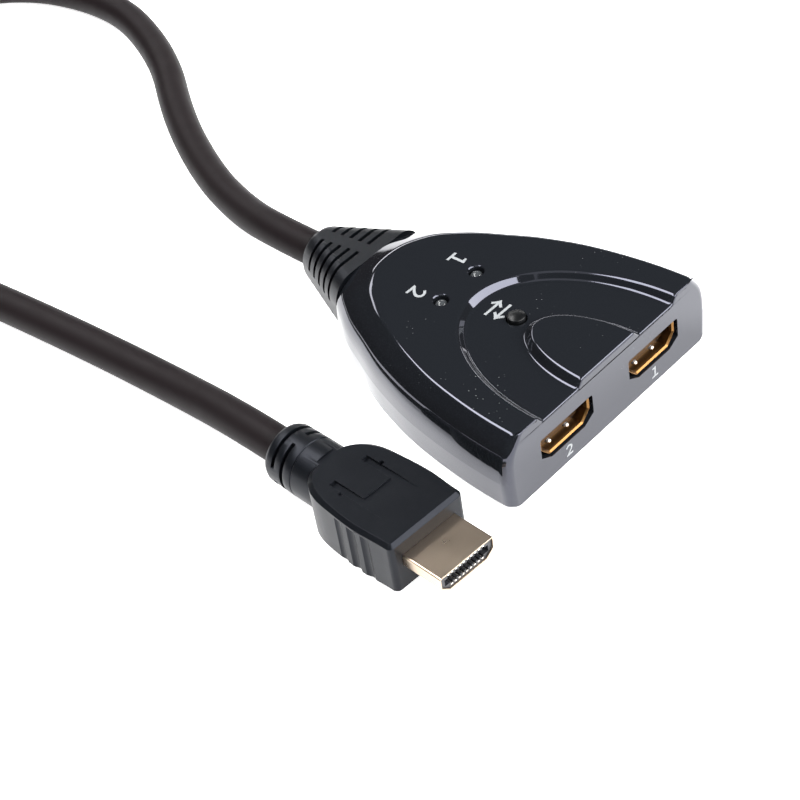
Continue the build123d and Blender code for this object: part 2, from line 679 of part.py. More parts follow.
def select_button():
    """Domed cap on a flange that stops it under the cover, with a stem down to the switch."""
    top = FIELD_Z + BUTTON_PROUD
    foot = PLUNGER_TOP + TOUCH_GAP
    ball = crown_radius(BUTTON_DIAMETER / 2, BUTTON_CROWN)
    cap = Pos(0, 0, FLANGE_LOW) * peg(BUTTON_DIAMETER, top - FLANGE_LOW) & Pos(0, 0, top - ball) * Sphere(ball)
    flange = Pos(0, 0, FLANGE_LOW) * peg(BUTTON_FLANGE, BUTTON_FLANGE_THICKNESS)
    stem = Pos(0, 0, foot) * peg(BUTTON_STEM, FLANGE_LOW - foot)
    return level(0, BUTTON_Y, 0) * (cap + flange + stem)


def switch_body():
    body = Box(SWITCH_SIZE, SWITCH_SIZE, SWITCH_HEIGHT, align=(Align.CENTER, Align.CENTER, Align.MIN))
    body = chamfer(body.edges().filter_by(Axis.Z), SWITCH_CORNER)
    body = level(0, BUTTON_Y, BOARD_TOP) * body
    well = peg(SWITCH_WELL, SWITCH_TOP - SWITCH_ROOF - WELL_FLOOR)
    body = body - level(0, BUTTON_Y, WELL_FLOOR) * well
    return body - level(0, BUTTON_Y, WELL_FLOOR) * peg(PLUNGER_DIAMETER + PLUNGER_FIT * 2, SWITCH_HEIGHT)


def switch_plunger():
    foot = WELL_FLOOR + DOME_HEIGHT + TOUCH_GAP
    return level(0, BUTTON_Y, foot) * peg(PLUNGER_DIAMETER, PLUNGER_TOP - foot)


def switch_dome():
    """Sprung metal disc under the plunger."""
    ball = crown_radius(DOME_DIAMETER / 2, DOME_HEIGHT)
    skin = Pos(0, 0, DOME_HEIGHT - ball) * (Sphere(ball) - Sphere(ball - DOME_THICKNESS))
    return level(0, BUTTON_Y, WELL_FLOOR) * (skin & peg(SWITCH_WELL, DOME_HEIGHT + PAST))


def switch_legs():
    """Four flat feet soldered to the board beside the switch."""
    seat = (Align.MIN, Align.CENTER, Align.MIN)
    foot = Box(SWITCH_LEG_REACH, SWITCH_LEG_WIDTH, SWITCH_LEG_THICKNESS, align=seat)
    legs = []
    for side in (-1, 1):
        for end in (-1, 1):
            place = level(side * SWITCH_SIZE / 2, BUTTON_Y + end * SWITCH_LEG_SPREAD / 2, BOARD_TOP)
            legs.append(place * Rot(0, 0, 90 - 90 * side) * foot)
    return Compound(legs)


# Indicator lamps

def lamp(x):
    """Clear moulded lamp: rim, barrel and round nose."""
    radius = LAMP_DIAMETER / 2
    body = peg(LAMP_RIM, LAMP_RIM_THICKNESS) + peg(LAMP_DIAMETER, LAMP_LENGTH - radius)
    body = body + Pos(0, 0, LAMP_LENGTH - radius) * Sphere(radius)
    return level(x, LAMP_Y, HEIGHT - LAMP_SETBACK - LAMP_LENGTH) * body


def lamp_leads():
    low = BOARD_BOTTOM - LAMP_LEAD_REACH
    high = HEIGHT - LAMP_SETBACK - LAMP_LENGTH
    wire = Box(LAMP_LEAD, LAMP_LEAD, high - low, align=(Align.CENTER, Align.CENTER, Align.MIN))
    return Compound([level(x + side * LAMP_LEAD_SPACING / 2, LAMP_Y, low) * wire
                     for _, x in lamp_places() for side in (-1, 1)])


# Screws

def housing_screws():
    """Four cross-head screws driven from below."""
    screw = peg(SCREW_HEAD, SCREW_HEAD_HEIGHT)
    screw = chamfer(screw.faces().sort_by(Axis.Z)[0].edges(), SCREW_HEAD_EDGE)
    screw = screw + Pos(0, 0, SCREW_HEAD_HEIGHT) * peg(SCREW_DIAMETER, SCREW_LENGTH)
    for turn in (0, 90):
        arm = Box(SCREW_HEAD * cross_share, SCREW_CROSS_WIDTH, SCREW_CROSS_DEPTH * 2)
        screw = screw - Rot(0, 0, turn) * arm
    return Compound([level(x, depth, SCREW_RECESS) * screw for x, depth in screw_places()])


# Strain relief and the lead inside it

def relief_section(share_back, inset):
    """Rounded section of the strain relief, from its root (0) to its tail (1), with its place."""
    keep = 1 - share_back
    width = RELIEF_ROOT_WIDTH * keep + RELIEF_TAIL_WIDTH * share_back
    root_height = RELIEF_ROOT_TOP - RELIEF_ROOT_BOTTOM
    height = root_height * keep + RELIEF_TAIL_HEIGHT * share_back
    root_z = RELIEF_ROOT_BOTTOM + root_height / 2
    z = root_z * keep + RELIEF_AXIS_Z * share_back
    corner = RELIEF_ROOT_CORNER * keep + RELIEF_TAIL_CORNER * share_back
    section = RectangleRounded(width - inset * 2, height - inset * 2, corner - inset)
    return section, RELIEF_TAIL_SHIFT * share_back, z


def relief_form(inset):
    """Tapered sleeve with a rounded end; an inset gives the core under the grooves."""
    sections = []
    full = RELIEF_LENGTH - RELIEF_TAIL_ROUND
    steps = [(0, 0, 0), (full, 1, 0)]
    if inset == 0:
        for share, drop in round_shares:
            steps.append((full + RELIEF_TAIL_ROUND * share, 1, RELIEF_TAIL_ROUND * drop))
    for reach, share_back, drop in steps:
        section, x, z = relief_section(share_back, inset + drop)
        sections.append(upright(x, HOUSING_LENGTH + reach, z) * section)
    return loft(sections, ruled=True)


def relief_slots():
    """Slots round the sleeve, broken at four webs, that let it bend with the lead."""
    bands = []
    for index in range(relief_grooves):
        start = HOUSING_LENGTH + RELIEF_GROOVE_FIRST + index * RELIEF_GROOVE_PITCH - RELIEF_GROOVE_WIDTH / 2
        bands.append(slab(start, start + RELIEF_GROOVE_WIDTH, -PAST, HEIGHT + PAST, RELIEF_ROOT_WIDTH))
    cut = Compound(bands) - relief_form(RELIEF_GROOVE_DEPTH)
    half = RELIEF_WEB / 2
    upper_web = slab(HOUSING_LENGTH, OVERALL_LENGTH, -PAST * 2, HEIGHT + PAST * 2, half)
    upper_web = Pos(RELIEF_TAIL_SHIFT / 2, 0, 0) * upper_web
    side_web = slab(
        HOUSING_LENGTH, OVERALL_LENGTH, RELIEF_AXIS_Z - half, RELIEF_AXIS_Z + half, RELIEF_ROOT_WIDTH + PAST)
    return cut - upper_web - side_web


def leaning_rod(radius, start, end):
    """Rod that leans with the strain relief, from depth start to depth end behind its root."""
    lean = RELIEF_TAIL_SHIFT / RELIEF_LENGTH
    return loft([upright(lean * reach, HOUSING_LENGTH + reach, RELIEF_AXIS_Z) * Circle(radius)
                 for reach in (start, end)])


def strain_relief():
    sleeve = relief_form(0) - relief_slots()
    neck = along(RectangleRounded(NECK_WIDTH, NECK_HEIGHT, NECK_CORNER), 0,
                 HOUSING_LENGTH - NECK_LENGTH, HOUSING_LENGTH, RELIEF_AXIS_Z)
    core = RectangleRounded(
        NECK_WIDTH - NECK_GROOVE_DEPTH * 2, NECK_HEIGHT - NECK_GROOVE_DEPTH * 2,
        NECK_CORNER - NECK_GROOVE_DEPTH)
    start = HOUSING_LENGTH - NECK_GROOVE_START - NECK_GROOVE_WIDTH
    end = HOUSING_LENGTH - NECK_GROOVE_START
    groove = slab(start, end, 0, HEIGHT, HALF_WIDTH) - along(core, 0, start - PAST, end + PAST, RELIEF_AXIS_Z)
    body = sleeve + (neck - groove)
    body = body - leaning_rod(HALF_CABLE + JACKET_FIT, 0, RELIEF_LENGTH + PAST)
    braid_bore = Circle(BRAID_DIAMETER / 2 + JACKET_FIT)
    begin = HOUSING_LENGTH - NECK_LENGTH - PAST
    return body - along(braid_bore, 0, begin, HOUSING_LENGTH + PAST, RELIEF_AXIS_Z)


def lead_stub():
    """The lead's jacket where it is held inside the strain relief."""
    return leaning_rod(HALF_CABLE, JACKET_FIT, RELIEF_LENGTH)


def lead_braid():
    """Stripped, screened core that runs through the neck into the box."""
    core = Circle(BRAID_DIAMETER / 2)
    return along(core, 0, HOUSING_LENGTH - BRAID_LENGTH, HOUSING_LENGTH + JACKET_FIT, RELIEF_AXIS_Z)


def lead_wires():
    """Wires that fan from the screened core down to a row of pads at the end of the board."""
    z = BOARD_TOP + WIRE_DIAMETER / 2
    begin = FRONT_Y + HOUSING_LENGTH - BRAID_LENGTH
    edge = FRONT_Y + BOARD_END
    wires = []
    for index in range(wires_laid):
        step = index - (wires_laid - 1) / 2
        narrow = step * (BRAID_DIAMETER - WIRE_DIAMETER) / (wires_laid - 1)
        wide = step * WIRE_PITCH
        path = Polyline(
            (narrow, begin, RELIEF_AXIS_Z), (narrow, begin - WIRE_EXIT, RELIEF_AXIS_Z), (wide, edge, z),
            (wide, edge - WIRE_LANDING, z))
        section = Plane(origin=path @ 0, z_dir=path % 0) * RegularPolygon(WIRE_DIAMETER / 2, wire_sides)
        wires.append(sweep(section, path=path, transition=Transition.RIGHT))
    return Compound(wires)


# The free lead. Each point is millimetres from the middle of the box, on the lead's centre line.
# It leaves the strain relief, settles on the table, swings round in one open bight and comes back
# to the plug.

ON_TABLE = HALF_CABLE
lead_route = [
    (RELIEF_TAIL_SHIFT, 52.5, RELIEF_AXIS_Z),
    (3.6, 67.0, 4.8),
    (9.6, 85.0, ON_TABLE),
    (21.5, 108.0, ON_TABLE),
    (39.0, 132.0, ON_TABLE),
    (50.0, 163.0, ON_TABLE),
    (41.0, 198.0, ON_TABLE),
    (6.0, 218.0, ON_TABLE),
    (-31.0, 203.0, ON_TABLE),
    (-49.5, 168.0, ON_TABLE),
    (-53.0, 131.0, ON_TABLE),
    (-49.0, 95.0, ON_TABLE),
    (-46.6, 62.0, ON_TABLE),
    (-45.6, 36.0, ON_TABLE),
]


def plug_end(depth):
    """Point on the plug's centre line, depth behind its tip."""
    place = PLUG_PLACE * Location((0, depth, PLUG_AXIS_Z))
    return tuple(place.position)


def bend_radii(points, share):
    """Largest arcs that the runs leave room for, as a share of the shorter run at each corner."""
    radii = []
    for before, here, after in zip(points, points[1:], points[2:]):
        into = Vector(*here) - Vector(*before)
        out = Vector(*after) - Vector(*here)
        shorter = min(into.length, out.length)
        radii.append(shorter * share / tan(radians(into.get_angle(out)) / 2))
    return radii


def lead():
    start = (RELIEF_TAIL_SHIFT, FRONT_Y + OVERALL_LENGTH, RELIEF_AXIS_Z)
    points = [start] + lead_route + [plug_end(PLUG_LENGTH + PLUG_RUN), plug_end(PLUG_LENGTH)]
    radii = bend_radii(points, run_share)
    path = FilletPolyline(*points, radius=radii)
    tube = sweep(Plane(origin=path @ 0, z_dir=path % 0) * Circle(HALF_CABLE), path=path)
    runs = [(Vector(*b) - Vector(*a)).length for a, b in zip(points, points[1:])]
    section = HALF_CABLE * HALF_CABLE * pi
    print("lead length", round(path.length, 1), "volume over section", round(tube.volume / section, 1))
    print("lead runs", [round(run, 1) for run in runs])
    print("lead radii", [round(radius, 1) for radius in radii])
    return tube


# Plug

def plug_place(x, depth, z):
    return PLUG_PLACE * Pos(x, depth, z)


def plug_upright(depth, z):
    return Plane(origin=(0, depth, z), x_dir=(1, 0, 0), z_dir=(0, -1, 0))


def plug_profile(inset):
    return d_profile(
        PLUG_WIDTH - inset * 2, PLUG_HEIGHT - inset * 2, PLUG_SIDE - inset, PLUG_CHAMFER,
        PLUG_CORNER - inset / 2)


def plug_bar(sketch, start, end, z):
    """Bar along the plug, in the plug's own frame."""
    return extrude(plug_upright(start, z) * sketch, amount=start - end)


def plug_shell():
    """Folded metal sleeve, seated in the hood."""
    end = PLUG_SHELL_OUT + PLUG_SHELL_IN
    sleeve = plug_bar(plug_profile(0), 0, end, PLUG_AXIS_Z)
    sleeve = sleeve - plug_bar(plug_profile(PLUG_WALL), -PAST, end + PAST, PLUG_AXIS_Z)
    return PLUG_PLACE * sleeve


def tooth_block(x, high, low):
    """Notch for one contact, open towards the tip and towards the slot."""
    size = Box(PLUG_TOOTH_WIDTH, PLUG_TOOTH_DEPTH, high - low, align=(Align.CENTER, Align.MIN, Align.MIN))
    return Pos(x, PLUG_LINER_SETBACK - PAST, low) * size


def plug_liner():
    """Moulding that lines the sleeve, with a slot for the blade and a row of notches above and below it."""
    end = PLUG_SHELL_OUT + PLUG_SHELL_IN
    liner = plug_bar(plug_profile(PLUG_WALL + PLUG_FIT), PLUG_LINER_SETBACK, end, PLUG_AXIS_Z)
    half = PLUG_SLOT_HEIGHT / 2
    seat = (Align.CENTER, Align.MIN, Align.CENTER)
    slot = Box(PLUG_SLOT_WIDTH, PLUG_SLOT_DEPTH + PAST, PLUG_SLOT_HEIGHT, align=seat)
    liner = liner - Pos(0, PLUG_LINER_SETBACK - PAST, PLUG_AXIS_Z) * slot
    for x in contact_row(upper_contacts, 0):
        liner = liner - tooth_block(x, PLUG_AXIS_Z + half + PLUG_TOOTH_HEIGHT, PLUG_AXIS_Z)
    for x in contact_row(lower_contacts, 0):
        liner = liner - tooth_block(x, PLUG_AXIS_Z, PLUG_AXIS_Z - half - PLUG_TOOTH_HEIGHT)
    return PLUG_PLACE * liner


def plug_contacts():
    """Sprung strips that lie in the notches."""
    seat = (Align.CENTER, Align.MIN, Align.CENTER)
    strip = Box(CONTACT_WIDTH, PLUG_TOOTH_DEPTH - PAST, CONTACT_THICKNESS * 2, align=seat)
    reach = PLUG_SLOT_HEIGHT / 2 + PLUG_TOOTH_HEIGHT - CONTACT_THICKNESS
    strips = []
    for count, side in ((upper_contacts, 1), (lower_contacts, -1)):
        for x in contact_row(count, 0):
            strips.append(plug_place(x, PLUG_LINER_SETBACK, PLUG_AXIS_Z + reach * side) * strip)
    return Compound(strips)


def hood_plan(z, inset):
    """Plan of the hood: square to the sleeve in front, widest at the grips, drawn in to its neck."""
    front = PLUG_SHELL_OUT + inset
    corner = max(HOOD_FRONT_CORNER - inset, HOOD_INNER_CORNER)
    start = (HOOD_FRONT_HALF - inset, front + corner, z)
    foot = (HOOD_FRONT_HALF - inset - corner, front, z)
    tail = PLUG_SHELL_OUT + HOOD_LENGTH - inset
    side = Spline(
        start, (HOOD_GRIP_HALF - inset, PLUG_SHELL_OUT + HOOD_GRIP, z),
        (HOOD_HIP_HALF - inset, PLUG_SHELL_OUT + HOOD_HIP, z),
        (HOOD_SHOULDER_HALF - inset, PLUG_SHELL_OUT + HOOD_SHOULDER - inset, z),
        (HOOD_TAIL_HALF, tail, z), tangents=[(0, 1, 0), (-1, hood_tail_share, 0)])
    turn = RadiusArc(foot, start, -corner)
    edges = [turn, side, mirror(side, Plane.YZ), mirror(turn, Plane.YZ), Line((-foot[0], front, z), foot)]
    edges.append(Line((HOOD_TAIL_HALF, tail, z), (-HOOD_TAIL_HALF, tail, z)))
    return make_face(edges)


def hood_neck():
    """Round neck that leaves the hood's tail, no higher or lower than the hood where they meet."""
    end = COLLAR_START
    neck = plug_bar(Circle(COLLAR_ROOT / 2), PLUG_SHELL_OUT + HOOD_SHOULDER, end, PLUG_AXIS_Z)
    neck = chamfer(neck.edges().sort_by(Axis.Y)[-1], COLLAR_EDGE)
    above = extrude(hood_plan(HOOD_TOP, 0), amount=HOOD_HEIGHT)
    below = extrude(hood_plan(HOOD_LOW, 0), amount=-HOOD_HEIGHT)
    return neck - above - below


def plug_hood():
    """Moulded grip over the joint of sleeve and lead."""
    hood = loft([
        hood_plan(HOOD_LOW, HOOD_SOLE_EDGE), hood_plan(HOOD_LOW + HOOD_SOLE_EDGE, 0),
        hood_plan(HOOD_TOP - HOOD_EDGE, 0), hood_plan(HOOD_TOP, HOOD_EDGE)], ruled=True)
    hood = hood + hood_neck()
    for side in (-1, 1):
        for index in range(hood_flutes):
            flute = peg(HOOD_FLUTE_RADIUS * 2, HOOD_TOP - HOOD_FLUTE_RIM + PAST)
            reach = HOOD_GRIP_HALF + HOOD_FLUTE_RADIUS - HOOD_FLUTE_DEPTH
            depth = PLUG_SHELL_OUT + HOOD_FLUTE_FIRST + index * HOOD_FLUTE_PITCH
            hood = hood - Pos(side * reach, depth, -PAST) * flute
    hood = hood - finger_panel()
    end = PLUG_SHELL_OUT + PLUG_SHELL_IN + PLUG_FIT
    hood = hood - plug_bar(plug_profile(-PLUG_FIT), PLUG_SHELL_OUT - PAST, end, PLUG_AXIS_Z)
    bore = Circle(COLLAR_SPIGOT / 2 + PLUG_FIT)
    start = COLLAR_START - COLLAR_SPIGOT_LENGTH - PLUG_FIT
    hood = hood - plug_bar(bore, start, COLLAR_START + PAST, PLUG_AXIS_Z)
    return PLUG_PLACE * hood


def finger_panel():
    """Ramped recess in the roof of the hood that leaves a raised pad, and two ejector marks."""
    start = PLUG_SHELL_OUT + PANEL_START
    end = PLUG_SHELL_OUT + PANEL_END
    over = HOOD_TOP + PAST
    wedge = make_face(Polyline(
        (start, HOOD_TOP), (end, HOOD_TOP - PANEL_DEPTH), (end, over), (start, over), close=True))
    side = Plane(origin=(-PANEL_HALF_WIDTH, 0, 0), x_dir=(0, 1, 0), z_dir=(1, 0, 0))
    recess = extrude(side * wedge, amount=PANEL_HALF_WIDTH * 2)
    seat = (Align.CENTER, Align.MIN, Align.CENTER)
    pad = Box(PAD_HALF_WIDTH * 2, PANEL_END - PAD_START + PAST, PAST * 4, align=seat)
    recess = recess - Pos(0, PLUG_SHELL_OUT + PAD_START, HOOD_TOP) * pad
    for end_side in (-1, 1):
        place = Pos(end_side * PIN_MARK_X, PLUG_SHELL_OUT + PIN_MARK_Y, HOOD_TOP - PANEL_DEPTH)
        recess = recess + place * peg(PIN_MARK, PAST)
    return recess


def plug_collar():
    """Slotted sleeve behind the hood that grips the lead, with a spigot moulded into the hood's neck."""
    root = COLLAR_ROOT / 2
    tail = COLLAR_TAIL / 2
    spigot = COLLAR_SPIGOT / 2
    end = COLLAR_START + COLLAR_LENGTH
    line = [(0, COLLAR_START - COLLAR_SPIGOT_LENGTH), (spigot, COLLAR_START - COLLAR_SPIGOT_LENGTH),
            (spigot, COLLAR_START), (root - COLLAR_EDGE, COLLAR_START), (root, COLLAR_START + COLLAR_EDGE),
            (tail, end - COLLAR_ROUND)]
    for share, drop in round_shares:
        line.append((tail - COLLAR_ROUND * drop, end - COLLAR_ROUND + COLLAR_ROUND * share))
    profile = make_face(Polyline(*line, (0, end), close=True))
    sleeve = Pos(0, 0, PLUG_AXIS_Z) * revolve(profile, Axis.Y)
    bands = []
    for index in range(collar_grooves):
        middle = COLLAR_START + COLLAR_GROOVE_FIRST + index * COLLAR_GROOVE_PITCH
        half = COLLAR_GROOVE_WIDTH / 2
        ring = Circle(COLLAR_ROOT) - Circle(tail - COLLAR_GROOVE_DEPTH)
        band = plug_bar(ring, middle - half, middle + half, PLUG_AXIS_Z)
        web = Box(COLLAR_WEB, COLLAR_GROOVE_WIDTH * 2, (COLLAR_ROOT + PAST) * 2)
        bands.append(band - Pos(0, middle, PLUG_AXIS_Z) * Rot(0, 90 * index, 0) * web)
    return PLUG_PLACE * (sleeve - Compound(bands))


pieces = {
    "top_cover": top_cover,
    "bottom_shell": bottom_shell,
    "circuit_board": circuit_board,
    "switching_chip": switching_chip,
    "chip_pins": chip_pins,
    "board_capacitors": board_capacitors,
    "select_button": select_button,
    "switch_body": switch_body,
    "switch_plunger": switch_plunger,
    "switch_dome": switch_dome,
    "switch_legs": switch_legs,
    "lamp_leads": lamp_leads,
    "housing_screws": housing_screws,
    "strain_relief": strain_relief,
    "lead_stub": lead_stub,
    "lead_braid": lead_braid,
    "lead_wires": lead_wires,
    "lead": lead,
    "plug_shell": plug_shell,
    "plug_liner": plug_liner,
    "plug_contacts": plug_contacts,
    "plug_hood": plug_hood,
    "plug_collar": plug_collar,
}

os.makedirs("parts", exist_ok=True)
for name, make in pieces.items():
    export_step(make(), "parts/" + name + ".step")
for number, place in port_places():
    export_step(input_shell(place), "parts/input_" + str(number) + "_shell.step")
    export_step(input_insulator(place), "parts/input_" + str(number) + "_insulator.step")
    export_step(input_contacts(place), "parts/input_" + str(number) + "_contacts.step")
for number, place in lamp_places():
    export_step(lamp(place), "parts/lamp_" + str(number) + ".step")
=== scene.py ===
import bmesh
import bpy
from math import atan2, cos, radians, sin, tan
from mathutils import Matrix, Vector


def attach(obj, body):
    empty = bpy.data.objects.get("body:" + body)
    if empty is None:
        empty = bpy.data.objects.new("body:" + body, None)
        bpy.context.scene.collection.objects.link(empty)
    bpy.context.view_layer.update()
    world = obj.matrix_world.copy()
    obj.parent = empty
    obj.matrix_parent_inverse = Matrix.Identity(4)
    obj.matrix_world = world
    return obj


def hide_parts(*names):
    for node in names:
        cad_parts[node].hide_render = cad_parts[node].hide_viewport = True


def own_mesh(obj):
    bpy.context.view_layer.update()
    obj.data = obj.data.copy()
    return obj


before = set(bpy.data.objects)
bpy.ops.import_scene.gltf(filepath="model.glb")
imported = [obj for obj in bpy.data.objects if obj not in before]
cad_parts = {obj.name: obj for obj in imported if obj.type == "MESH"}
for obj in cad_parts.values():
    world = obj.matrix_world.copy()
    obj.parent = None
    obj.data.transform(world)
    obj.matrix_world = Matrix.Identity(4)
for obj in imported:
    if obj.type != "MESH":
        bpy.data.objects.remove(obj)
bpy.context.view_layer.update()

mm = 0.001

# Camera: a long lens held above the front left corner of the box and rolled a little about its own axis. Its
# focal length is in pixels of a square picture, as it was read from the photograph's perspective.
azimuth = radians(-41.30)
elevation = radians(41.75)
roll = radians(-9.83)
lens_x, lens_y, lens_z = -228.63 * mm, -238.54 * mm, 282.60 * mm
focal_pixels = 2096.84
picture_pixels = 800
sensor_millimetres = 36
camera = bpy.data.objects.new("camera", bpy.data.cameras.new("camera"))
bpy.context.scene.collection.objects.link(camera)
bpy.context.scene.camera = camera
back = Vector((sin(azimuth) * cos(elevation), -cos(azimuth) * cos(elevation), sin(elevation)))
level_right = Vector((cos(azimuth), sin(azimuth), 0))
level_up = back.cross(level_right)
right = level_right * cos(roll) + level_up * sin(roll)
up = level_up * cos(roll) - level_right * sin(roll)
camera.matrix_world = Matrix((
    (right.x, up.x, back.x, lens_x),
    (right.y, up.y, back.y, lens_y),
    (right.z, up.z, back.z, lens_z),
    (0, 0, 0, 1)))
camera.data.sensor_width = sensor_millimetres
camera.data.lens = focal_pixels / picture_pixels * sensor_millimetres
camera.data.clip_start = 0.01
camera.data.clip_end = 20
bpy.context.scene.view_settings.view_transform = "Standard"


# Room: a dim one, darker and warmer low down than overhead, which is what the gloss plastic mirrors. The
# camera itself sees plain white behind the table.
def linear(code):
    """Linear colour of an sRGB hex code."""
    parts = [int(code[place:place + 2], 16) / 255 for place in (1, 3, 5)]
    light = [part / 12.92 if part <= 0.04045 else ((part + 0.055) / 1.055) ** 2.4 for part in parts]
    return (*light, 1.0)


def add(tree, kind, links=(), **settings):
    """Adds a node; a setting names one of its sockets or properties, and a link is (socket, node, output)."""
    node = tree.nodes.new(kind)
    for name, value in settings.items():
        sockets = [socket for socket in node.inputs if socket.name.replace(" ", "_") == name]
        if hasattr(node, name):
            setattr(node, name, value)
        else:
            sockets[0].default_value = value
    for socket, source, output in links:
        tree.links.new(source.outputs[output], node.inputs[socket])
    return node


room_low_colour = "#2c2223"
room_high_colour = "#4a4d52"
world = bpy.data.worlds.new("studio")
bpy.context.scene.world = world
world.use_nodes = True
sky = world.node_tree
sky.nodes.clear()
sky_place = add(sky, "ShaderNodeTexCoord")
sky_height = add(sky, "ShaderNodeSeparateXYZ", [("Vector", sky_place, "Generated")])
sky_ramp = add(sky, "ShaderNodeValToRGB", [("Fac", sky_height, "Z")])
sky_ramp.color_ramp.elements[0].position = 0.2
sky_ramp.color_ramp.elements[0].color = linear(room_low_colour)
sky_ramp.color_ramp.elements[1].position = 0.5
sky_ramp.color_ramp.elements[1].color = linear(room_high_colour)
sky_ray = add(sky, "ShaderNodeLightPath")
sky_colour = add(sky, "ShaderNodeMixRGB", [("Fac", sky_ray, "Is Camera Ray"), ("Color1", sky_ramp, "Color")],
                 Color2=(1, 1, 1, 1))
sky_light = add(sky, "ShaderNodeBackground", [("Color", sky_colour, "Color")], Strength=1.0)
add(sky, "ShaderNodeOutputWorld", [("Surface", sky_light, "Background")])


# Table: a sheet of matt white paper under the box. It glows for the camera and in mirrored rays, so that it
# shows as plain white and still takes the object's soft shadow.
def new_material(name):
    """Empty node material and its tree."""
    material = bpy.data.materials.new(name)
    material.use_nodes = True
    material.node_tree.nodes.clear()
    return material, material.node_tree


table_half_width = 6
table_drop = 0.05 * mm
table_colour = "#f2f2f2"
camera_glow = 0.78
table_mesh = bmesh.new()
bmesh.ops.create_grid(table_mesh, x_segments=1, y_segments=1, size=table_half_width)
table_data = bpy.data.meshes.new("table")
table_mesh.to_mesh(table_data)
table_mesh.free()
table = bpy.data.objects.new("table", table_data)
table.location = (0, 0, -table_drop)
bpy.context.scene.collection.objects.link(table)
paper, tree = new_material("white_paper_table")
ray = add(tree, "ShaderNodeLightPath")
mirrored = add(tree, "ShaderNodeMath", [(0, ray, "Is Glossy Ray"), (1, ray, "Is Transmission Ray")],
               operation="MAXIMUM")
direct = add(tree, "ShaderNodeMath", [(0, ray, "Is Camera Ray")], operation="MULTIPLY")
direct.inputs[1].default_value = camera_glow
glow = add(tree, "ShaderNodeMath", [(0, mirrored, "Value"), (1, direct, "Value")], operation="MAXIMUM")
matt = add(tree, "ShaderNodeBsdfDiffuse", Color=linear(table_colour))
white = add(tree, "ShaderNodeEmission", [("Strength", glow, "Value")], Color=(1, 1, 1, 1))
both = add(tree, "ShaderNodeAddShader", [(0, matt, "BSDF"), (1, white, "Emission")])
add(tree, "ShaderNodeOutputMaterial", [("Surface", both, "Shader")])
table_data.materials.append(paper)


# Lamps: five softboxes. A long one stands behind the box for its shoulder and the rear wall of its field to
# mirror, with a low strip and a small one to its right. A big one lights the input face, a weak one the side.
def softbox(name, width, height, watts, distance, turn, rise):
    """Rectangular lamp aimed at the origin; turn is clockwise from straight behind, and rise is upwards."""
    lamp = bpy.data.objects.new(name, bpy.data.lights.new(name, "AREA"))
    lamp.data.shape = "RECTANGLE"
    lamp.data.size = width
    lamp.data.size_y = height
    lamp.data.energy = watts
    bearing = radians(turn)
    climb = radians(rise)
    toward = Vector((sin(bearing) * cos(climb), cos(bearing) * cos(climb), sin(climb)))
    lamp.location = toward * distance
    lamp.rotation_euler = toward.to_track_quat("Z", "Y").to_euler()
    bpy.context.scene.collection.objects.link(lamp)


softbox("softbox_behind", width=1.3, height=0.38, watts=18.0, distance=1.1, turn=-31, rise=60)
softbox("softbox_low_behind", width=1.05, height=0.09, watts=2.2, distance=1.1, turn=49, rise=17)
softbox("softbox_tail", width=0.45, height=0.14, watts=1.3, distance=1.1, turn=14, rise=31)
softbox("softbox_front", width=1.5, height=0.72, watts=34.0, distance=1.1, turn=163, rise=33)
softbox("softbox_left", width=1.2, height=1.2, watts=3.0, distance=1.5, turn=-110, rise=60)

# Lead: a round cord of screened wires in an extruded jacket. It leaves the strain relief, settles on the
# table, swings round outside the picture and comes back to the plug. The points, in millimetres, are the
# solid's route.
lead_diameter = 7.8 * mm
lead_rest = lead_diameter / 2 / mm
plug_tip = Vector((-50.69, -46.55, 0)) * mm
plug_turn = radians(-3.3)
plug_axis = 6.5 * mm
plug_length = 49.2 * mm
run_to_collar = 13 * mm
plug_back = Vector((-sin(plug_turn), cos(plug_turn), 0))
collar_end = plug_tip + plug_back * plug_length + Vector((0, 0, plug_axis))
lead_route = [
    (0.8, 40.0, 6.9), (0.8, 52.5, 6.9), (3.6, 67.0, 4.8), (9.6, 85.0, lead_rest), (21.5, 108.0, lead_rest),
    (39.0, 132.0, lead_rest), (50.0, 163.0, lead_rest), (41.0, 198.0, lead_rest), (6.0, 218.0, lead_rest),
    (-31.0, 203.0, lead_rest), (-49.5, 168.0, lead_rest), (-53.0, 131.0, lead_rest), (-49.0, 95.0, lead_rest),
    (-46.6, 62.0, lead_rest), (-45.6, 36.0, lead_rest)]
lead_points = [Vector(point) * mm for point in lead_route]
lead_points += [collar_end + plug_back * run_to_collar, collar_end]
lead_curve = bpy.data.curves.new("lead_jacket", "CURVE")
lead_curve.dimensions = "3D"
lead_curve.bevel_depth = lead_diameter / 2
lead_curve.bevel_resolution = 10
lead_curve.resolution_u = 14
lead_curve.use_fill_caps = True
lead_line = lead_curve.splines.new("NURBS")
lead_line.points.add(len(lead_points) - 1)
for knot, point in zip(lead_line.points, lead_points):
    knot.co = (*point, 1)
lead_line.order_u = 3
lead_line.use_endpoint_u = True
lead_jacket = bpy.data.objects.new("lead_jacket", lead_curve)
bpy.context.scene.collection.objects.link(lead_jacket)

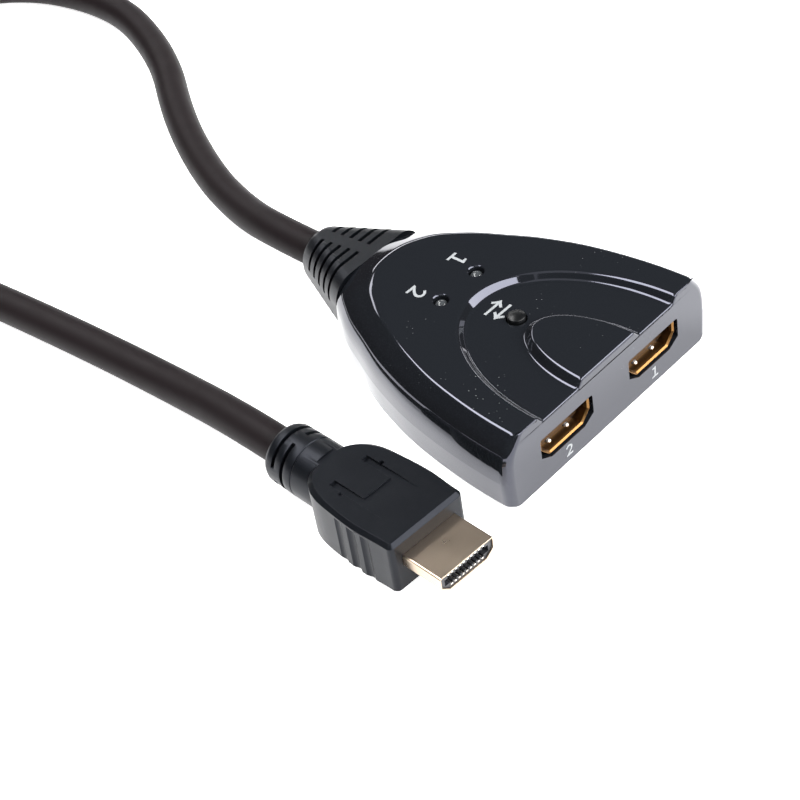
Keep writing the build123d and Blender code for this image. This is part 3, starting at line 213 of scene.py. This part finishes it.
# Extruded soft PVC: a warm near-black with a low, hazy gloss that runs softly along the round. Its skin has a
# faint grain, drawn coarser than the real one so that it shows.
jacket_colour = "#120b0d"
jacket_haze = 3.846 * mm
jacket_grain = 0.3846 * mm
jacket_pvc, tree = new_material("extruded_soft_pvc")
place = add(tree, "ShaderNodeTexCoord")
haze = add(tree, "ShaderNodeTexNoise", [("Vector", place, "Object")], Scale=1 / jacket_haze, Detail=3.0)
gloss = add(tree, "ShaderNodeMapRange", [("Value", haze, "Fac")], To_Min=0.48, To_Max=0.6)
skin = add(tree, "ShaderNodeTexNoise", [("Vector", place, "Object")], Scale=1 / jacket_grain, Detail=2.0)
ripple = add(tree, "ShaderNodeBump", [("Height", skin, "Fac")], Strength=0.08, Distance=0.05 * mm)
surface = add(tree, "ShaderNodeBsdfPrincipled",
              [("Roughness", gloss, "Result"), ("Normal", ripple, "Normal")],
              Base_Color=linear(jacket_colour), IOR=1.22)
add(tree, "ShaderNodeOutputMaterial", [("Surface", surface, "BSDF")])
lead_curve.materials.append(jacket_pvc)
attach(lead_jacket, "housing")
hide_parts("lead")

# Top cover: ABS, injection-moulded in a polished tool. Upright sides turn over a shoulder to a flat top. A
# field is sunk into the top, and a tongue stands in the field. Screws from below hold the cover.
half_width = 31.3 * mm
front = -40 * mm
tail = 21.5 * mm
tip_length = 68 * mm
height = 17 * mm
parting = 6.5 * mm
plateau_half_width = 27.45 * mm
plateau_length = 57 * mm
side_pull = 7 * mm
corner_round = 2 * mm
housing_wall = 2 * mm
outline_shares = ((0.93, 0.34), (0.8, 0.565), (0.66, 0.715), (0.5, 0.855), (0.3, 0.957), (0.0, 1.0))
shoulder_shares = ((0.12, 0.995), (0.24, 0.985), (0.33, 0.97), (0.42, 0.94), (0.5, 0.895), (0.58, 0.82),
                   (0.66, 0.715), (0.74, 0.575), (0.82, 0.405), (0.9, 0.222), (0.966, 0.071), (0.98, 0.032),
                   (0.99, -0.014), (0.997, -0.065), (1.0, -0.128))
hollow_shares = (0.93, 0.94, 1)
hollow_side = 4.2 * mm
hollow_roof = 3.5 * mm
field_floor = 15.3 * mm
field_depth = 1.7 * mm
field_size = (20.75 * mm, 33.05 * mm)
tongue_size = (8.85 * mm, 18.7 * mm)
brow_round = 0.55 * mm
port_places = {"1": 13.55 * mm, "2": -13.55 * mm}
mouth_width = 15.8 * mm
mouth_depth = 6 * mm
mouth_height = 5.6 * mm
mouth_middle = 8.3 * mm
mouth_corner = 0.6 * mm
button_place = -16.9 * mm
button_hole = 2.2 * mm
lamp_places = {"1": 5.45 * mm, "2": -5.45 * mm}
lamp_row = -1.85 * mm
lamp_bore = 1.65 * mm
lamp_dish = 1.9 * mm
dish_low = 16.8 * mm
dish_high = 17.05 * mm
bore_low = 12 * mm
bore_high = 18 * mm
cover_edge = 0.32 * mm
overrun = 1 * mm
on_plane = 0.0001 * mm
about_front = Matrix.Translation((0, -front, 0))


def plan_ring(low):
    """Edge loop of the housing's plan: straight input face, rounded corners, sides drawn in to the tip."""
    curve = bpy.data.curves.new("plan", "CURVE")
    curve.dimensions = "3D"
    curve.resolution_u = 9
    line = curve.splines.new("BEZIER")
    side = [(half_width * across, front + tip_length * along) for across, along in outline_shares]
    points = [(half_width, front)] + side + [(-x, y) for x, y in reversed(side[:-1])] + [(-half_width, front)]
    line.bezier_points.add(len(points) - 1)
    for knot, (x, y) in zip(line.bezier_points, points):
        knot.co = (x, y, low)
        knot.handle_left_type = knot.handle_right_type = "AUTO"
    for knot in (line.bezier_points[0], line.bezier_points[-1]):
        knot.handle_left_type = knot.handle_right_type = "FREE"
        knot.handle_left = knot.co + Vector((0, side_pull, 0))
        knot.handle_right = knot.co + Vector((0, side_pull, 0))
    holder = bpy.data.objects.new("plan", curve)
    bpy.context.scene.collection.objects.link(holder)
    bpy.context.view_layer.update()
    mesh = bpy.data.meshes.new_from_object(holder.evaluated_get(bpy.context.evaluated_depsgraph_get()))
    bpy.data.objects.remove(holder)
    ring = bmesh.new()
    ring.from_mesh(mesh)
    bmesh.ops.remove_doubles(ring, verts=ring.verts, dist=0.001 * mm)
    corners = [v for v in ring.verts if v.co.y < front + 0.01 * mm]
    ring.edges.new(corners)
    bmesh.ops.bevel(ring, geom=corners, offset=corner_round, segments=7, profile=0.5, affect="VERTICES",
                    material=-1)
    return ring


def raise_ring(form, ring, across, along, lift):
    """Next ring of a form, drawn in about the middle of the input face; returns its edges."""
    step = bmesh.ops.extrude_edge_only(form, edges=ring)["geom"]
    verts = [part for part in step if isinstance(part, bmesh.types.BMVert)]
    bmesh.ops.scale(form, vec=(across, along, 1), space=about_front, verts=verts)
    bmesh.ops.translate(form, vec=(0, 0, lift), verts=verts)
    return [part for part in step if isinstance(part, bmesh.types.BMEdge)
            and all(v in verts for v in part.verts)]


def close_form(form):
    """Caps every open rim and turns the faces outwards."""
    bmesh.ops.holes_fill(form, edges=[edge for edge in form.edges if edge.is_boundary])
    bmesh.ops.recalc_face_normals(form, faces=form.faces)


def trim_tail(form, end):
    """Cuts a housing form square at its tail end."""
    bmesh.ops.bisect_plane(form, geom=form.verts[:] + form.edges[:] + form.faces[:], dist=on_plane,
                           plane_co=(0, end, 0), plane_no=(0, 1, 0), clear_outer=True)


def piece_of(form, name):
    """Object made from a bmesh, which is freed."""
    mesh = bpy.data.meshes.new(name)
    form.to_mesh(mesh)
    form.free()
    piece = bpy.data.objects.new(name, mesh)
    bpy.context.scene.collection.objects.link(piece)
    return piece


def settle(piece):
    """Applies a piece's modifiers to its mesh."""
    bpy.context.view_layer.update()
    mesh = bpy.data.meshes.new_from_object(piece.evaluated_get(bpy.context.evaluated_depsgraph_get()))
    piece.modifiers.clear()
    piece.data = mesh


def carve(piece, tool):
    """Cuts a closed tool, which is used up, out of a closed piece."""
    step = piece.modifiers.new("carve", "BOOLEAN")
    step.object = tool
    step.operation = "DIFFERENCE"
    step.solver = "EXACT"
    settle(piece)
    bpy.data.objects.remove(tool)


def wall_profile(rise, run, foot_round, head_round):
    """Offsets and heights up a sloping wall with a rounded foot and a rounded head, round its middle."""
    slope = atan2(rise, run)
    steps = 6
    turns = [slope * step / steps for step in range(steps + 1)]
    foot = [(foot_round * sin(turn), foot_round * (1 - cos(turn))) for turn in turns]
    head = [(head_round * sin(turn), head_round * (1 - cos(turn))) for turn in turns]
    straight = rise - foot[-1][1] - head[-1][1]
    width = foot[-1][0] + head[-1][0] + straight / tan(slope)
    profile = foot + [(width - out, rise - up) for out, up in reversed(head)]
    return [(out - width / 2, up) for out, up in profile]


def ellipse_stack(base, middle_size, profile, past):
    """Block of elliptic section round the middle of the input face, one ring for each step of a wall."""
    form = bmesh.new()
    last = (middle_size[0] + profile[0][0], middle_size[1] + profile[0][0])
    verts = bmesh.ops.create_circle(form, cap_ends=False, segments=144, radius=1)["verts"]
    bmesh.ops.transform(form, matrix=Matrix.Diagonal((*last, 1, 1)), verts=verts)
    bmesh.ops.translate(form, vec=(0, front, base), verts=verts)
    ring = form.edges[:]
    level = 0
    for out, up in profile[1:] + [(profile[-1][0], profile[-1][1] + past)]:
        size = (middle_size[0] + out, middle_size[1] + out)
        ring = raise_ring(form, ring, size[0] / last[0], size[1] / last[1], up - level)
        last, level = size, up
    close_form(form)
    return form


def rod(radius, low, high, x, y, top_radius=None):
    """Upright rod, or a cone where the top has its own radius."""
    form = bmesh.new()
    bmesh.ops.create_cone(form, cap_ends=True, segments=64, radius1=radius,
                          radius2=radius if top_radius is None else top_radius, depth=high - low)
    bmesh.ops.translate(form, vec=(x, y, (low + high) / 2), verts=form.verts)
    return form


def block(size, middle):
    """Upright box round a middle point."""
    form = bmesh.new()
    bmesh.ops.create_cube(form, size=1)
    bmesh.ops.scale(form, vec=size, verts=form.verts)
    bmesh.ops.translate(form, vec=middle, verts=form.verts)
    return form


def round_front(piece, edge):
    """Rounds the edge where the input face meets the top, the field and the tongue."""
    plane_behind_edge = front + edge * 1.4
    faces_front = -0.99
    faces_up = 0.3
    form = bmesh.new()
    form.from_mesh(piece.data)
    bmesh.ops.bisect_plane(form, geom=form.verts[:] + form.edges[:] + form.faces[:], dist=on_plane,
                           plane_co=(0, plane_behind_edge, 0), plane_no=(0, 1, 0))
    brow = [line for line in form.edges if len(line.link_faces) == 2
            and min(face.normal.y for face in line.link_faces) < faces_front
            and max(face.normal.z for face in line.link_faces) > faces_up]
    bmesh.ops.bevel(form, geom=brow, offset=edge, segments=4, profile=0.5, affect="EDGES", material=-1,
                    clamp_overlap=False)
    form.to_mesh(piece.data)
    form.free()


def finish_moulding(piece, edge, segments=2, limit=30):
    """Small rounding along every edge sharper than a limit, and normals that keep the flats flat."""
    rounding = piece.modifiers.new("edge", "BEVEL")
    rounding.width = edge
    rounding.segments = segments
    rounding.limit_method = "ANGLE"
    rounding.angle_limit = radians(limit)
    rounding.use_clamp_overlap = True
    settle(piece)
    piece.data.shade_smooth()
    piece.data.set_sharp_from_angle(angle=radians(48))
    flats = piece.modifiers.new("flats", "WEIGHTED_NORMAL")
    flats.keep_sharp = True
    flats.weight = 80
    settle(piece)


cover_form = plan_ring(parting)
ring = cover_form.edges[:]
last_rise, last_across, last_back = 0, 1, 1
for rise, spread in shoulder_shares:
    across = (plateau_half_width + (half_width - plateau_half_width) * spread) / half_width
    back_share = (plateau_length + (tip_length - plateau_length) * spread) / tip_length
    ring = raise_ring(cover_form, ring, across / last_across, back_share / last_back,
                      (height - parting) * (rise - last_rise))
    last_rise, last_across, last_back = rise, across, back_share
trim_tail(cover_form, tail)
close_form(cover_form)
cover = piece_of(cover_form, "cover_moulding")

hollow_form = plan_ring(parting - overrun)
ring = hollow_form.edges[:]
bmesh.ops.scale(hollow_form, vec=hollow_shares, space=about_front, verts=hollow_form.verts)
ring = raise_ring(hollow_form, ring, 0.99, 0.99, hollow_side)
ring = raise_ring(hollow_form, ring, 0.9, 0.9, hollow_roof)
bmesh.ops.translate(hollow_form, vec=(0, housing_wall, 0), verts=hollow_form.verts)
trim_tail(hollow_form, tail - housing_wall)
close_form(hollow_form)
carve(cover, piece_of(hollow_form, "hollow"))

field_wall = wall_profile(rise=field_depth, run=1.3 * mm, foot_round=1.0 * mm, head_round=1.1 * mm)
field = piece_of(ellipse_stack(field_floor, field_size, field_wall, overrun), "field")
tongue_slope = wall_profile(rise=field_depth, run=1.4 * mm, foot_round=1.0 * mm, head_round=1.0 * mm)
tongue_wall = [(-out, up) for out, up in tongue_slope]
tongue = piece_of(ellipse_stack(field_floor, tongue_size, tongue_wall, overrun * 2), "tongue")
carve(field, tongue)
carve(cover, field)
round_front(cover, brow_round)
for x in port_places.values():
    mouth = block((mouth_width, mouth_depth, mouth_height), (x, front, mouth_middle))
    uppers = [edge for edge in mouth.edges if all(v.co.z > mouth_middle for v in edge.verts)
              and abs(edge.verts[0].co.x - edge.verts[1].co.x) < 0.1 * mm]
    bmesh.ops.bevel(mouth, geom=uppers, offset=mouth_corner, segments=4, profile=0.5, affect="EDGES",
                    material=-1)
    carve(cover, piece_of(mouth, "mouth"))
carve(cover, piece_of(rod(button_hole, bore_low, bore_high, 0, button_place), "button_hole"))
for x in lamp_places.values():
    carve(cover, piece_of(rod(lamp_bore, bore_low, bore_high, x, lamp_row), "lamp_bore"))
    carve(cover, piece_of(rod(lamp_bore, dish_low, dish_high, x, lamp_row, lamp_dish), "lamp_dish"))
finish_moulding(cover, cover_edge, segments=3)

# Moulded gloss ABS: it mirrors the room like black glass. Faint smears take the edge off that mirror, and a
# few grey motes of dust lie in patches. They are drawn coarser than real dust so that they show.
gloss_colour = "#16181b"
gloss_tint = "#e8eaff"
dust_colour = "#6a6e6d"
smear_size = 11.111 * mm
mote_spacing = 1.1765 * mm
dust_patch = 14.286 * mm
gloss_abs, tree = new_material("moulded_gloss_abs")
place = add(tree, "ShaderNodeTexCoord")
smear = add(tree, "ShaderNodeTexNoise", [("Vector", place, "Object")], Scale=1 / smear_size, Detail=4.0)
polish = add(tree, "ShaderNodeMapRange", [("Value", smear, "Fac")], To_Min=0.025, To_Max=0.075)
mote = add(tree, "ShaderNodeTexVoronoi", [("Vector", place, "Object")], Scale=1 / mote_spacing,
           Randomness=1.0)
cluster = add(tree, "ShaderNodeTexNoise", [("Vector", place, "Object")], Scale=1 / dust_patch, Detail=2.0)
near = add(tree, "ShaderNodeMapRange", [("Value", mote, "Distance")], From_Min=0.05, From_Max=0.12,
           To_Min=1.0, To_Max=0.0)
patch = add(tree, "ShaderNodeMapRange", [("Value", cluster, "Fac")], From_Min=0.56, From_Max=0.68)
dust = add(tree, "ShaderNodeMath", [(0, near, "Result"), (1, patch, "Result")], operation="MULTIPLY")
tone = add(tree, "ShaderNodeMixRGB", [("Fac", dust, "Value")], Color1=linear(gloss_colour),
           Color2=linear(dust_colour))
surface = add(tree, "ShaderNodeBsdfPrincipled",
              [("Base Color", tone, "Color"), ("Roughness", polish, "Result")],
              IOR=1.62, Specular_Tint=linear(gloss_tint))
add(tree, "ShaderNodeOutputMaterial", [("Surface", surface, "BSDF")])
cover.data.materials.clear()
cover.data.materials.append(gloss_abs)
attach(cover, "housing")
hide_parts("top_cover")

# Marks: plain numbers for the two inputs and their lamps, and two small arrows at the button. They are
# pad-printed on the finished moulding. The ink is matt and light grey, and a little uneven.
wide_numerals = {"1": "\uff11", "2": "\uff12"}
arrows = "\u21c4"
ink_thickness = 0.01 * mm
lamp_number_height = 4.9 * mm
lamp_number_row = 4.2 * mm
lamp_number_share = 1.156
input_number_height = 3.4 * mm
input_number_level = 2.5 * mm
arrows_height = 5.5 * mm
arrows_row = -11.6 * mm
ink_thin_colour = "#7b7e80"
ink_full_colour = "#a3a6a8"
ink_patch = 0.4545 * mm
ink, tree = new_material("pad_printed_grey_ink")
place = add(tree, "ShaderNodeTexCoord")
ink_depth = add(tree, "ShaderNodeTexNoise", [("Vector", place, "Object")], Scale=1 / ink_patch, Detail=2.0)
shade = add(tree, "ShaderNodeMixRGB", [("Fac", ink_depth, "Fac")], Color1=linear(ink_thin_colour),
            Color2=linear(ink_full_colour))
surface = add(tree, "ShaderNodeBsdfPrincipled", [("Base Color", shade, "Color")], Roughness=0.5)
add(tree, "ShaderNodeOutputMaterial", [("Surface", surface, "BSDF")])


def mark(text, name, tall, stand, turn):
    """Printed sign: letters of a height, laid on a place of the moulding with a turn."""
    letters = bpy.data.curves.new(name, "FONT")
    letters.body = text
    letters.align_x = "CENTER"
    letters.align_y = "CENTER"
    letters.size = tall
    letters.extrude = ink_thickness
    letters.offset = tall * 0.02
    holder = bpy.data.objects.new(name, letters)
    bpy.context.scene.collection.objects.link(holder)
    bpy.context.view_layer.update()
    mesh = bpy.data.meshes.new_from_object(holder.evaluated_get(bpy.context.evaluated_depsgraph_get()))
    bpy.data.objects.remove(holder)
    mesh.transform(Matrix.Translation(stand) @ turn)
    printed = bpy.data.objects.new(name, mesh)
    bpy.context.scene.collection.objects.link(printed)
    mesh.materials.clear()
    mesh.materials.append(ink)
    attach(printed, "housing")


on_top = Matrix.Rotation(radians(180), 4, "Z")
on_face = Matrix.Rotation(radians(90), 4, "X")
for number, x in lamp_places.items():
    beside_lamp = (x * lamp_number_share, lamp_number_row, height + ink_thickness)
    under_mouth = (port_places[number], front - ink_thickness, input_number_level)
    figure = wide_numerals[number]
    mark(figure, "lamp_number_" + number, lamp_number_height, beside_lamp, on_top)
    mark(figure, "input_number_" + number, input_number_height, under_mouth, on_face)
mark(arrows, "select_arrows", arrows_height, (0, arrows_row, field_floor + ink_thickness), on_top)

# Bottom shell: the lower half of the housing, moulded in the same gloss ABS, a tub with a flat sole. It meets
# the cover in a fine dark joint line, and holds the lower halves of the mouths and the four sunk screw holes.
foot_inset = 1.05 * mm
edge_inset = 0.35 * mm
foot_height = 0.7 * mm
tub_shares = (0.935, 0.95, 1)
tub_floor = 1.8 * mm
tub_depth = 8 * mm
lower_mouth_height = 1.6 * mm
lower_mouth_middle = 5.7 * mm
mouth_floor_width = 10 * mm
mouth_reach_up = 2 * mm
screw_places = ((25.1 * mm, -33.0 * mm), (-25.1 * mm, -33.0 * mm),
                (15.0 * mm, 3.3 * mm), (-15.0 * mm, 3.3 * mm))
screw_sink = 2.4 * mm
screw_sink_depth = 1.7 * mm
shell_edge = 0.14 * mm


def drawn_in(inset):
    """Shares of the full plan across and along, for a plan drawn in at the sides and a little at the tip."""
    return (half_width - inset) / half_width, (tip_length - edge_inset) / tip_length


shell_form = plan_ring(0)
ring = shell_form.edges[:]
sole = drawn_in(foot_inset)
edge = drawn_in(edge_inset)
bmesh.ops.scale(shell_form, vec=(*sole, 1), space=about_front, verts=shell_form.verts)
ring = raise_ring(shell_form, ring, edge[0] / sole[0], edge[1] / sole[1], foot_height)
ring = raise_ring(shell_form, ring, 1 / edge[0], 1 / edge[1], parting - foot_height)
trim_tail(shell_form, tail)
close_form(shell_form)
shell = piece_of(shell_form, "bottom_moulding")
tub_form = plan_ring(tub_floor)
bmesh.ops.scale(tub_form, vec=tub_shares, space=about_front, verts=tub_form.verts)
bmesh.ops.translate(tub_form, vec=(0, housing_wall, 0), verts=tub_form.verts)
raise_ring(tub_form, tub_form.edges[:], 1, 1, tub_depth)
trim_tail(tub_form, tail - housing_wall)
close_form(tub_form)
carve(shell, piece_of(tub_form, "tub"))
for x in port_places.values():
    mouth = bmesh.new()
    bmesh.ops.create_grid(mouth, x_segments=1, y_segments=1, size=0.5)
    bmesh.ops.rotate(mouth, matrix=Matrix.Rotation(radians(90), 3, "X"), verts=mouth.verts)
    bmesh.ops.scale(mouth, vec=(mouth_width, 1, lower_mouth_height), verts=mouth.verts)
    bmesh.ops.scale(mouth, vec=(mouth_floor_width / mouth_width, 1, 1),
                    verts=[v for v in mouth.verts if v.co.z < 0])
    top_edge = [line for line in mouth.edges if all(v.co.z > 0 for v in line.verts)]
    rim = bmesh.ops.extrude_edge_only(mouth, edges=top_edge)["geom"]
    bmesh.ops.translate(mouth, vec=(0, 0, mouth_reach_up),
                        verts=[v for v in rim if isinstance(v, bmesh.types.BMVert)])
    solid = bmesh.ops.extrude_face_region(mouth, geom=mouth.faces[:])["geom"]
    bmesh.ops.translate(mouth, vec=(0, mouth_depth, 0),
                        verts=[v for v in solid if isinstance(v, bmesh.types.BMVert)])
    bmesh.ops.translate(mouth, vec=(x, front - mouth_depth / 2, lower_mouth_middle), verts=mouth.verts)
    bmesh.ops.recalc_face_normals(mouth, faces=mouth.faces)
    carve(shell, piece_of(mouth, "mouth"))
for x, y in screw_places:
    carve(shell, piece_of(rod(screw_sink, -overrun, screw_sink_depth, x, y), "screw_sink"))
finish_moulding(shell, shell_edge)
shell.data.materials.clear()
shell.data.materials.append(gloss_abs)
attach(shell, "housing")
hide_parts("bottom_shell")


# Select button: a small domed cap, moulded in black ABS, that stands out of the sunk field. Its flange under
# the cover keeps it in, and its stem presses the switch on the board.
def recast(node, name, edge):
    """The node's own solid as one welded moulding, with small rounded edges where an edge size is given."""
    crease = 28
    form = bmesh.new()
    form.from_mesh(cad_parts[node].data)
    bmesh.ops.remove_doubles(form, verts=form.verts, dist=0.0005 * mm)
    bmesh.ops.dissolve_limit(form, angle_limit=radians(0.5), verts=form.verts, edges=form.edges)
    piece = piece_of(form, name)
    piece.data.materials.clear()
    if edge:
        finish_moulding(piece, edge, limit=crease)
    else:
        piece.data.shade_smooth()
        piece.data.set_sharp_from_angle(angle=radians(crease))
    return piece


# Moulded satin ABS: black like the cover but from a duller tool, so that the dome shows one soft highlight in
# place of the cover's hard mirror.
button_edge = 0.12 * mm
button_colour = "#0c0d0e"
button_wear = 1.111 * mm
satin_abs, tree = new_material("moulded_satin_abs")
place = add(tree, "ShaderNodeTexCoord")
wear = add(tree, "ShaderNodeTexNoise", [("Vector", place, "Object")], Scale=1 / button_wear, Detail=3.0)
sheen = add(tree, "ShaderNodeMapRange", [("Value", wear, "Fac")], To_Min=0.28, To_Max=0.4)
surface = add(tree, "ShaderNodeBsdfPrincipled", [("Roughness", sheen, "Result")],
              Base_Color=linear(button_colour), Specular_IOR_Level=0.25)
add(tree, "ShaderNodeOutputMaterial", [("Surface", surface, "BSDF")])
button = recast("select_button", "button_cap", button_edge)
button.data.materials.append(satin_abs)
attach(button, "button")
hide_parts("select_button")

# Lamps: two round indicator lamps, each cast in clear epoxy in one with its rim. They look out through dished
# holes. The epoxy is smooth and part clear, so the hole shows a grey, glassy bead with a dark ring round it.
epoxy_colour = "#5c6063"
clear_epoxy, tree = new_material("cast_clear_epoxy")
surface = add(tree, "ShaderNodeBsdfPrincipled", Base_Color=linear(epoxy_colour), Roughness=0.12, IOR=1.52,
              Transmission_Weight=0.6)
add(tree, "ShaderNodeOutputMaterial", [("Surface", surface, "BSDF")])
for number in lamp_places:
    lens = recast("lamp_" + number, "lamp_lens_" + number, 0)
    lens.data.materials.append(clear_epoxy)
    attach(lens, "housing")
    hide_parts("lamp_" + number)

# Strain relief, plug hood and collar: soft PVC, moulded over the ends of the lead. Slots let the relief and
# the collar bend. The skin is satin, cooler than the lead, with a grain drawn coarse enough to show.
soft_colour = "#090b0e"
soft_tint = "#e8edff"
soft_grain = 0.3125 * mm
soft_mottle = 6.667 * mm
relief_edge = 0.16 * mm
hood_edge = 0.3 * mm
collar_edge = 0.14 * mm
relief_pvc, tree = new_material("moulded_satin_pvc")
place = add(tree, "ShaderNodeTexCoord")
grain = add(tree, "ShaderNodeTexNoise", [("Vector", place, "Object")], Scale=1 / soft_grain, Detail=3.0)
mottle = add(tree, "ShaderNodeTexNoise", [("Vector", place, "Object")], Scale=1 / soft_mottle, Detail=3.0)
satin = add(tree, "ShaderNodeMapRange", [("Value", mottle, "Fac")], To_Min=0.3, To_Max=0.42)
relief_bump = add(tree, "ShaderNodeBump", [("Height", grain, "Fac")], Strength=0.12, Distance=0.05 * mm)
surface = add(tree, "ShaderNodeBsdfPrincipled",
              [("Roughness", satin, "Result"), ("Normal", relief_bump, "Normal")],
              Base_Color=linear(soft_colour), Specular_IOR_Level=0.17, Specular_Tint=linear(soft_tint))
add(tree, "ShaderNodeOutputMaterial", [("Surface", surface, "BSDF")])
for node, name, edge, slot_name in (("strain_relief", "relief_sleeve", relief_edge, "relief_pvc"),
                                    ("plug_hood", "hood_grip", hood_edge, "hood_pvc"),
                                    ("plug_collar", "collar_sleeve", collar_edge, "hood_pvc")):
    piece = recast(node, name, edge)
    piece.data.materials.append(relief_pvc)
    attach(piece, "housing")
    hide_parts(node)


# Plug sleeve: thin steel, folded to the plug's shape and plated a pale gilt. The plating is smooth but not
# polished, so it shows broad soft reflections with faint stains in them.
def plated(name, colour, rough):
    """Plated metal with faint stains that dull it here and there."""
    stain_size = 5.556 * mm
    dulling = 0.1
    material, tree = new_material(name)
    place = add(tree, "ShaderNodeTexCoord")
    stain = add(tree, "ShaderNodeTexNoise", [("Vector", place, "Object")], Scale=1 / stain_size, Detail=4.0)
    sheen = add(tree, "ShaderNodeMapRange", [("Value", stain, "Fac")], To_Min=rough, To_Max=rough + dulling)
    surface = add(tree, "ShaderNodeBsdfPrincipled", [("Roughness", sheen, "Result")],
                  Base_Color=linear(colour), Metallic=1.0)
    add(tree, "ShaderNodeOutputMaterial", [("Surface", surface, "BSDF")])
    return material


sleeve_edge = 0.05 * mm
gilt = plated("pale_gilt_steel", "#bcab98", rough=0.24)
sleeve = recast("plug_shell", "plug_sleeve", sleeve_edge)
sleeve.data.materials.append(gilt)
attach(sleeve, "housing")
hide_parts("plug_shell")

# Receptacles: pressed steel sleeves with a gold flash, soldered to the board behind the mouths. The flash is
# deep brown gold where the walls mirror each other. Each floor has two spring dimples, plated near white as a
# painted highlight for the bright glints they catch.
dimple_radius = 0.6 * mm
dimple_spread = 2.7 * mm
dimple_depth = -37.2 * mm
dimple_level = 5.6 * mm
receptacle_crease = 30
gold = plated("gold_flashed_steel", "#815f38", rough=0.28)
# Near-white plating on the dimples: a painted highlight that stands in for their glints.
dimple_glint_plating = plated("worn_bright_plating", "#fffaf0", rough=0.34)
for number, x in port_places.items():
    node = "input_" + number + "_shell"
    bare = recast(node, "bare_" + node, 0)
    form = bmesh.new()
    form.from_mesh(bare.data)
    bpy.data.objects.remove(bare)
    for side in (-1, 1):
        dimple = bmesh.ops.create_uvsphere(form, u_segments=20, v_segments=12, radius=dimple_radius)["verts"]
        bmesh.ops.translate(form, vec=(x + side * dimple_spread, dimple_depth, dimple_level), verts=dimple)
        for face in {face for v in dimple for face in v.link_faces}:
            face.material_index = 1
    receptacle = piece_of(form, "receptacle_" + number)
    receptacle.data.shade_smooth()
    receptacle.data.set_sharp_from_angle(angle=radians(receptacle_crease))
    receptacle.data.materials.append(gold)
    receptacle.data.materials.append(dimple_glint_plating)
    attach(receptacle, "housing")
    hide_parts(node)


# Plug contacts: bronze strips, stamped from sheet and plated bright, in the notches of the plug's liner. They
# catch the light as a row of pale teeth.
def paint(node, material):
    """Gives a carried-over solid its own finish."""
    node_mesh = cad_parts[node].data
    node_mesh.materials.clear()
    node_mesh.materials.append(material)


paint("plug_contacts", plated("bright_plated_bronze", "#fbf8f2", rough=0.3))

# Tinned small metal: the lamps' legs, the pins of the chip, the feet of the push switch and the braid of the
# lead. All are copper, dipped or drawn through tin, which leaves a pale grey metal with a dull shine.
tin = plated("tinned_copper", "#c9c8c4", rough=0.3)
for node in ("lamp_leads", "chip_pins", "switch_legs", "lead_braid"):
    paint(node, tin)

# Dome of the push switch: a thin disc of spring steel, pressed to a shallow dome, that lies in the switch's
# well under the plunger. It is as pale as the tinned metal. Pressed, it flattens, and then it springs back.
dome = recast("switch_dome", "sprung_dome", 0)
dome.data.materials.append(tin)
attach(dome, "housing")
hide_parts("switch_dome")
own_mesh(dome)


# Nylon and epoxy mouldings: the plug's liner, the push switch's body and plunger, and the chip. They are
# moulded black and left as they come from the tool, so they are dull and a little cloudy.
def plain_plastic(name, colour, rough):
    """Plain moulding with a faint cloud in its sheen."""
    cloud_size = 2.5 * mm
    dulling = 0.12
    material, tree = new_material(name)
    place = add(tree, "ShaderNodeTexCoord")
    cloud = add(tree, "ShaderNodeTexNoise", [("Vector", place, "Object")], Scale=1 / cloud_size, Detail=3.0)
    sheen = add(tree, "ShaderNodeMapRange", [("Value", cloud, "Fac")], To_Min=rough, To_Max=rough + dulling)
    surface = add(tree, "ShaderNodeBsdfPrincipled", [("Roughness", sheen, "Result")],
                  Base_Color=linear(colour))
    add(tree, "ShaderNodeOutputMaterial", [("Surface", surface, "BSDF")])
    return material


nylon = plain_plastic("moulded_black_nylon", "#26272a", rough=0.4)
for node in ("plug_liner", "switch_body", "switch_plunger", "switching_chip"):
    paint(node, nylon)

# Blades and contacts: each mouth has a moulded blade of dark brown nylon with a row of gilt strips on it. The
# blade is glossy and mirrors the plating. It stands back from the mouth, so that the sleeve's floor shows.
blade_setback = 0.8 * mm
blade_front = -37.4 * mm
port_nylon = plain_plastic("moulded_glossy_brown_nylon", "#2e2014", rough=0.16)
for number in port_places:
    for part, material, slot_name in (("insulator", port_nylon, "port_nylon"),
                                      ("contacts", gold, "contact_gold")):
        blade = recast("input_" + number + "_" + part, "blade_" + part + "_" + number, 0)
        form = bmesh.new()
        form.from_mesh(blade.data)
        bmesh.ops.translate(form, vec=(0, blade_setback, 0),
                            verts=[v for v in form.verts if v.co.y < blade_front])
        form.to_mesh(blade.data)
        form.free()
        blade.data.materials.append(material)
        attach(blade, "housing")
        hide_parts("input_" + number + "_" + part)

# Circuit board: glass-fibre laminate under a printed green solder mask, which gives it a smooth, even sheen.
# It lies on the bosses of the bottom shell and carries all the electric parts.
paint("circuit_board", plain_plastic("green_solder_mask", "#1f4a30", rough=0.3))

# Capacitors: small ceramic chips, pressed, fired and soldered to the board. The fired body is tan, with a dull
# and slightly cloudy surface.
paint("board_capacitors", plain_plastic("fired_ceramic", "#8a7048", rough=0.4))

# Wires of the lead: thin conductors in extruded PVC, fanned out from the end of the braid to the board. Light
# grey stands for their colours, which nothing shows.
paint("lead_wires", plain_plastic("coloured_wire_pvc", "#a8a49a", rough=0.4))

# Stub of the lead: the fixed end of the jacket inside the strain relief, extruded in one with the free lead,
# so it has the same finish.
paint("lead_stub", jacket_pvc)

# Housing screws: four cross-head steel screws, driven up through the bottom shell into the cover's bosses.
# Black zinc leaves the steel a dark, slightly cloudy metal.
paint("housing_screws", plated("black_zinc_steel", "#4a4a4d", rough=0.3))
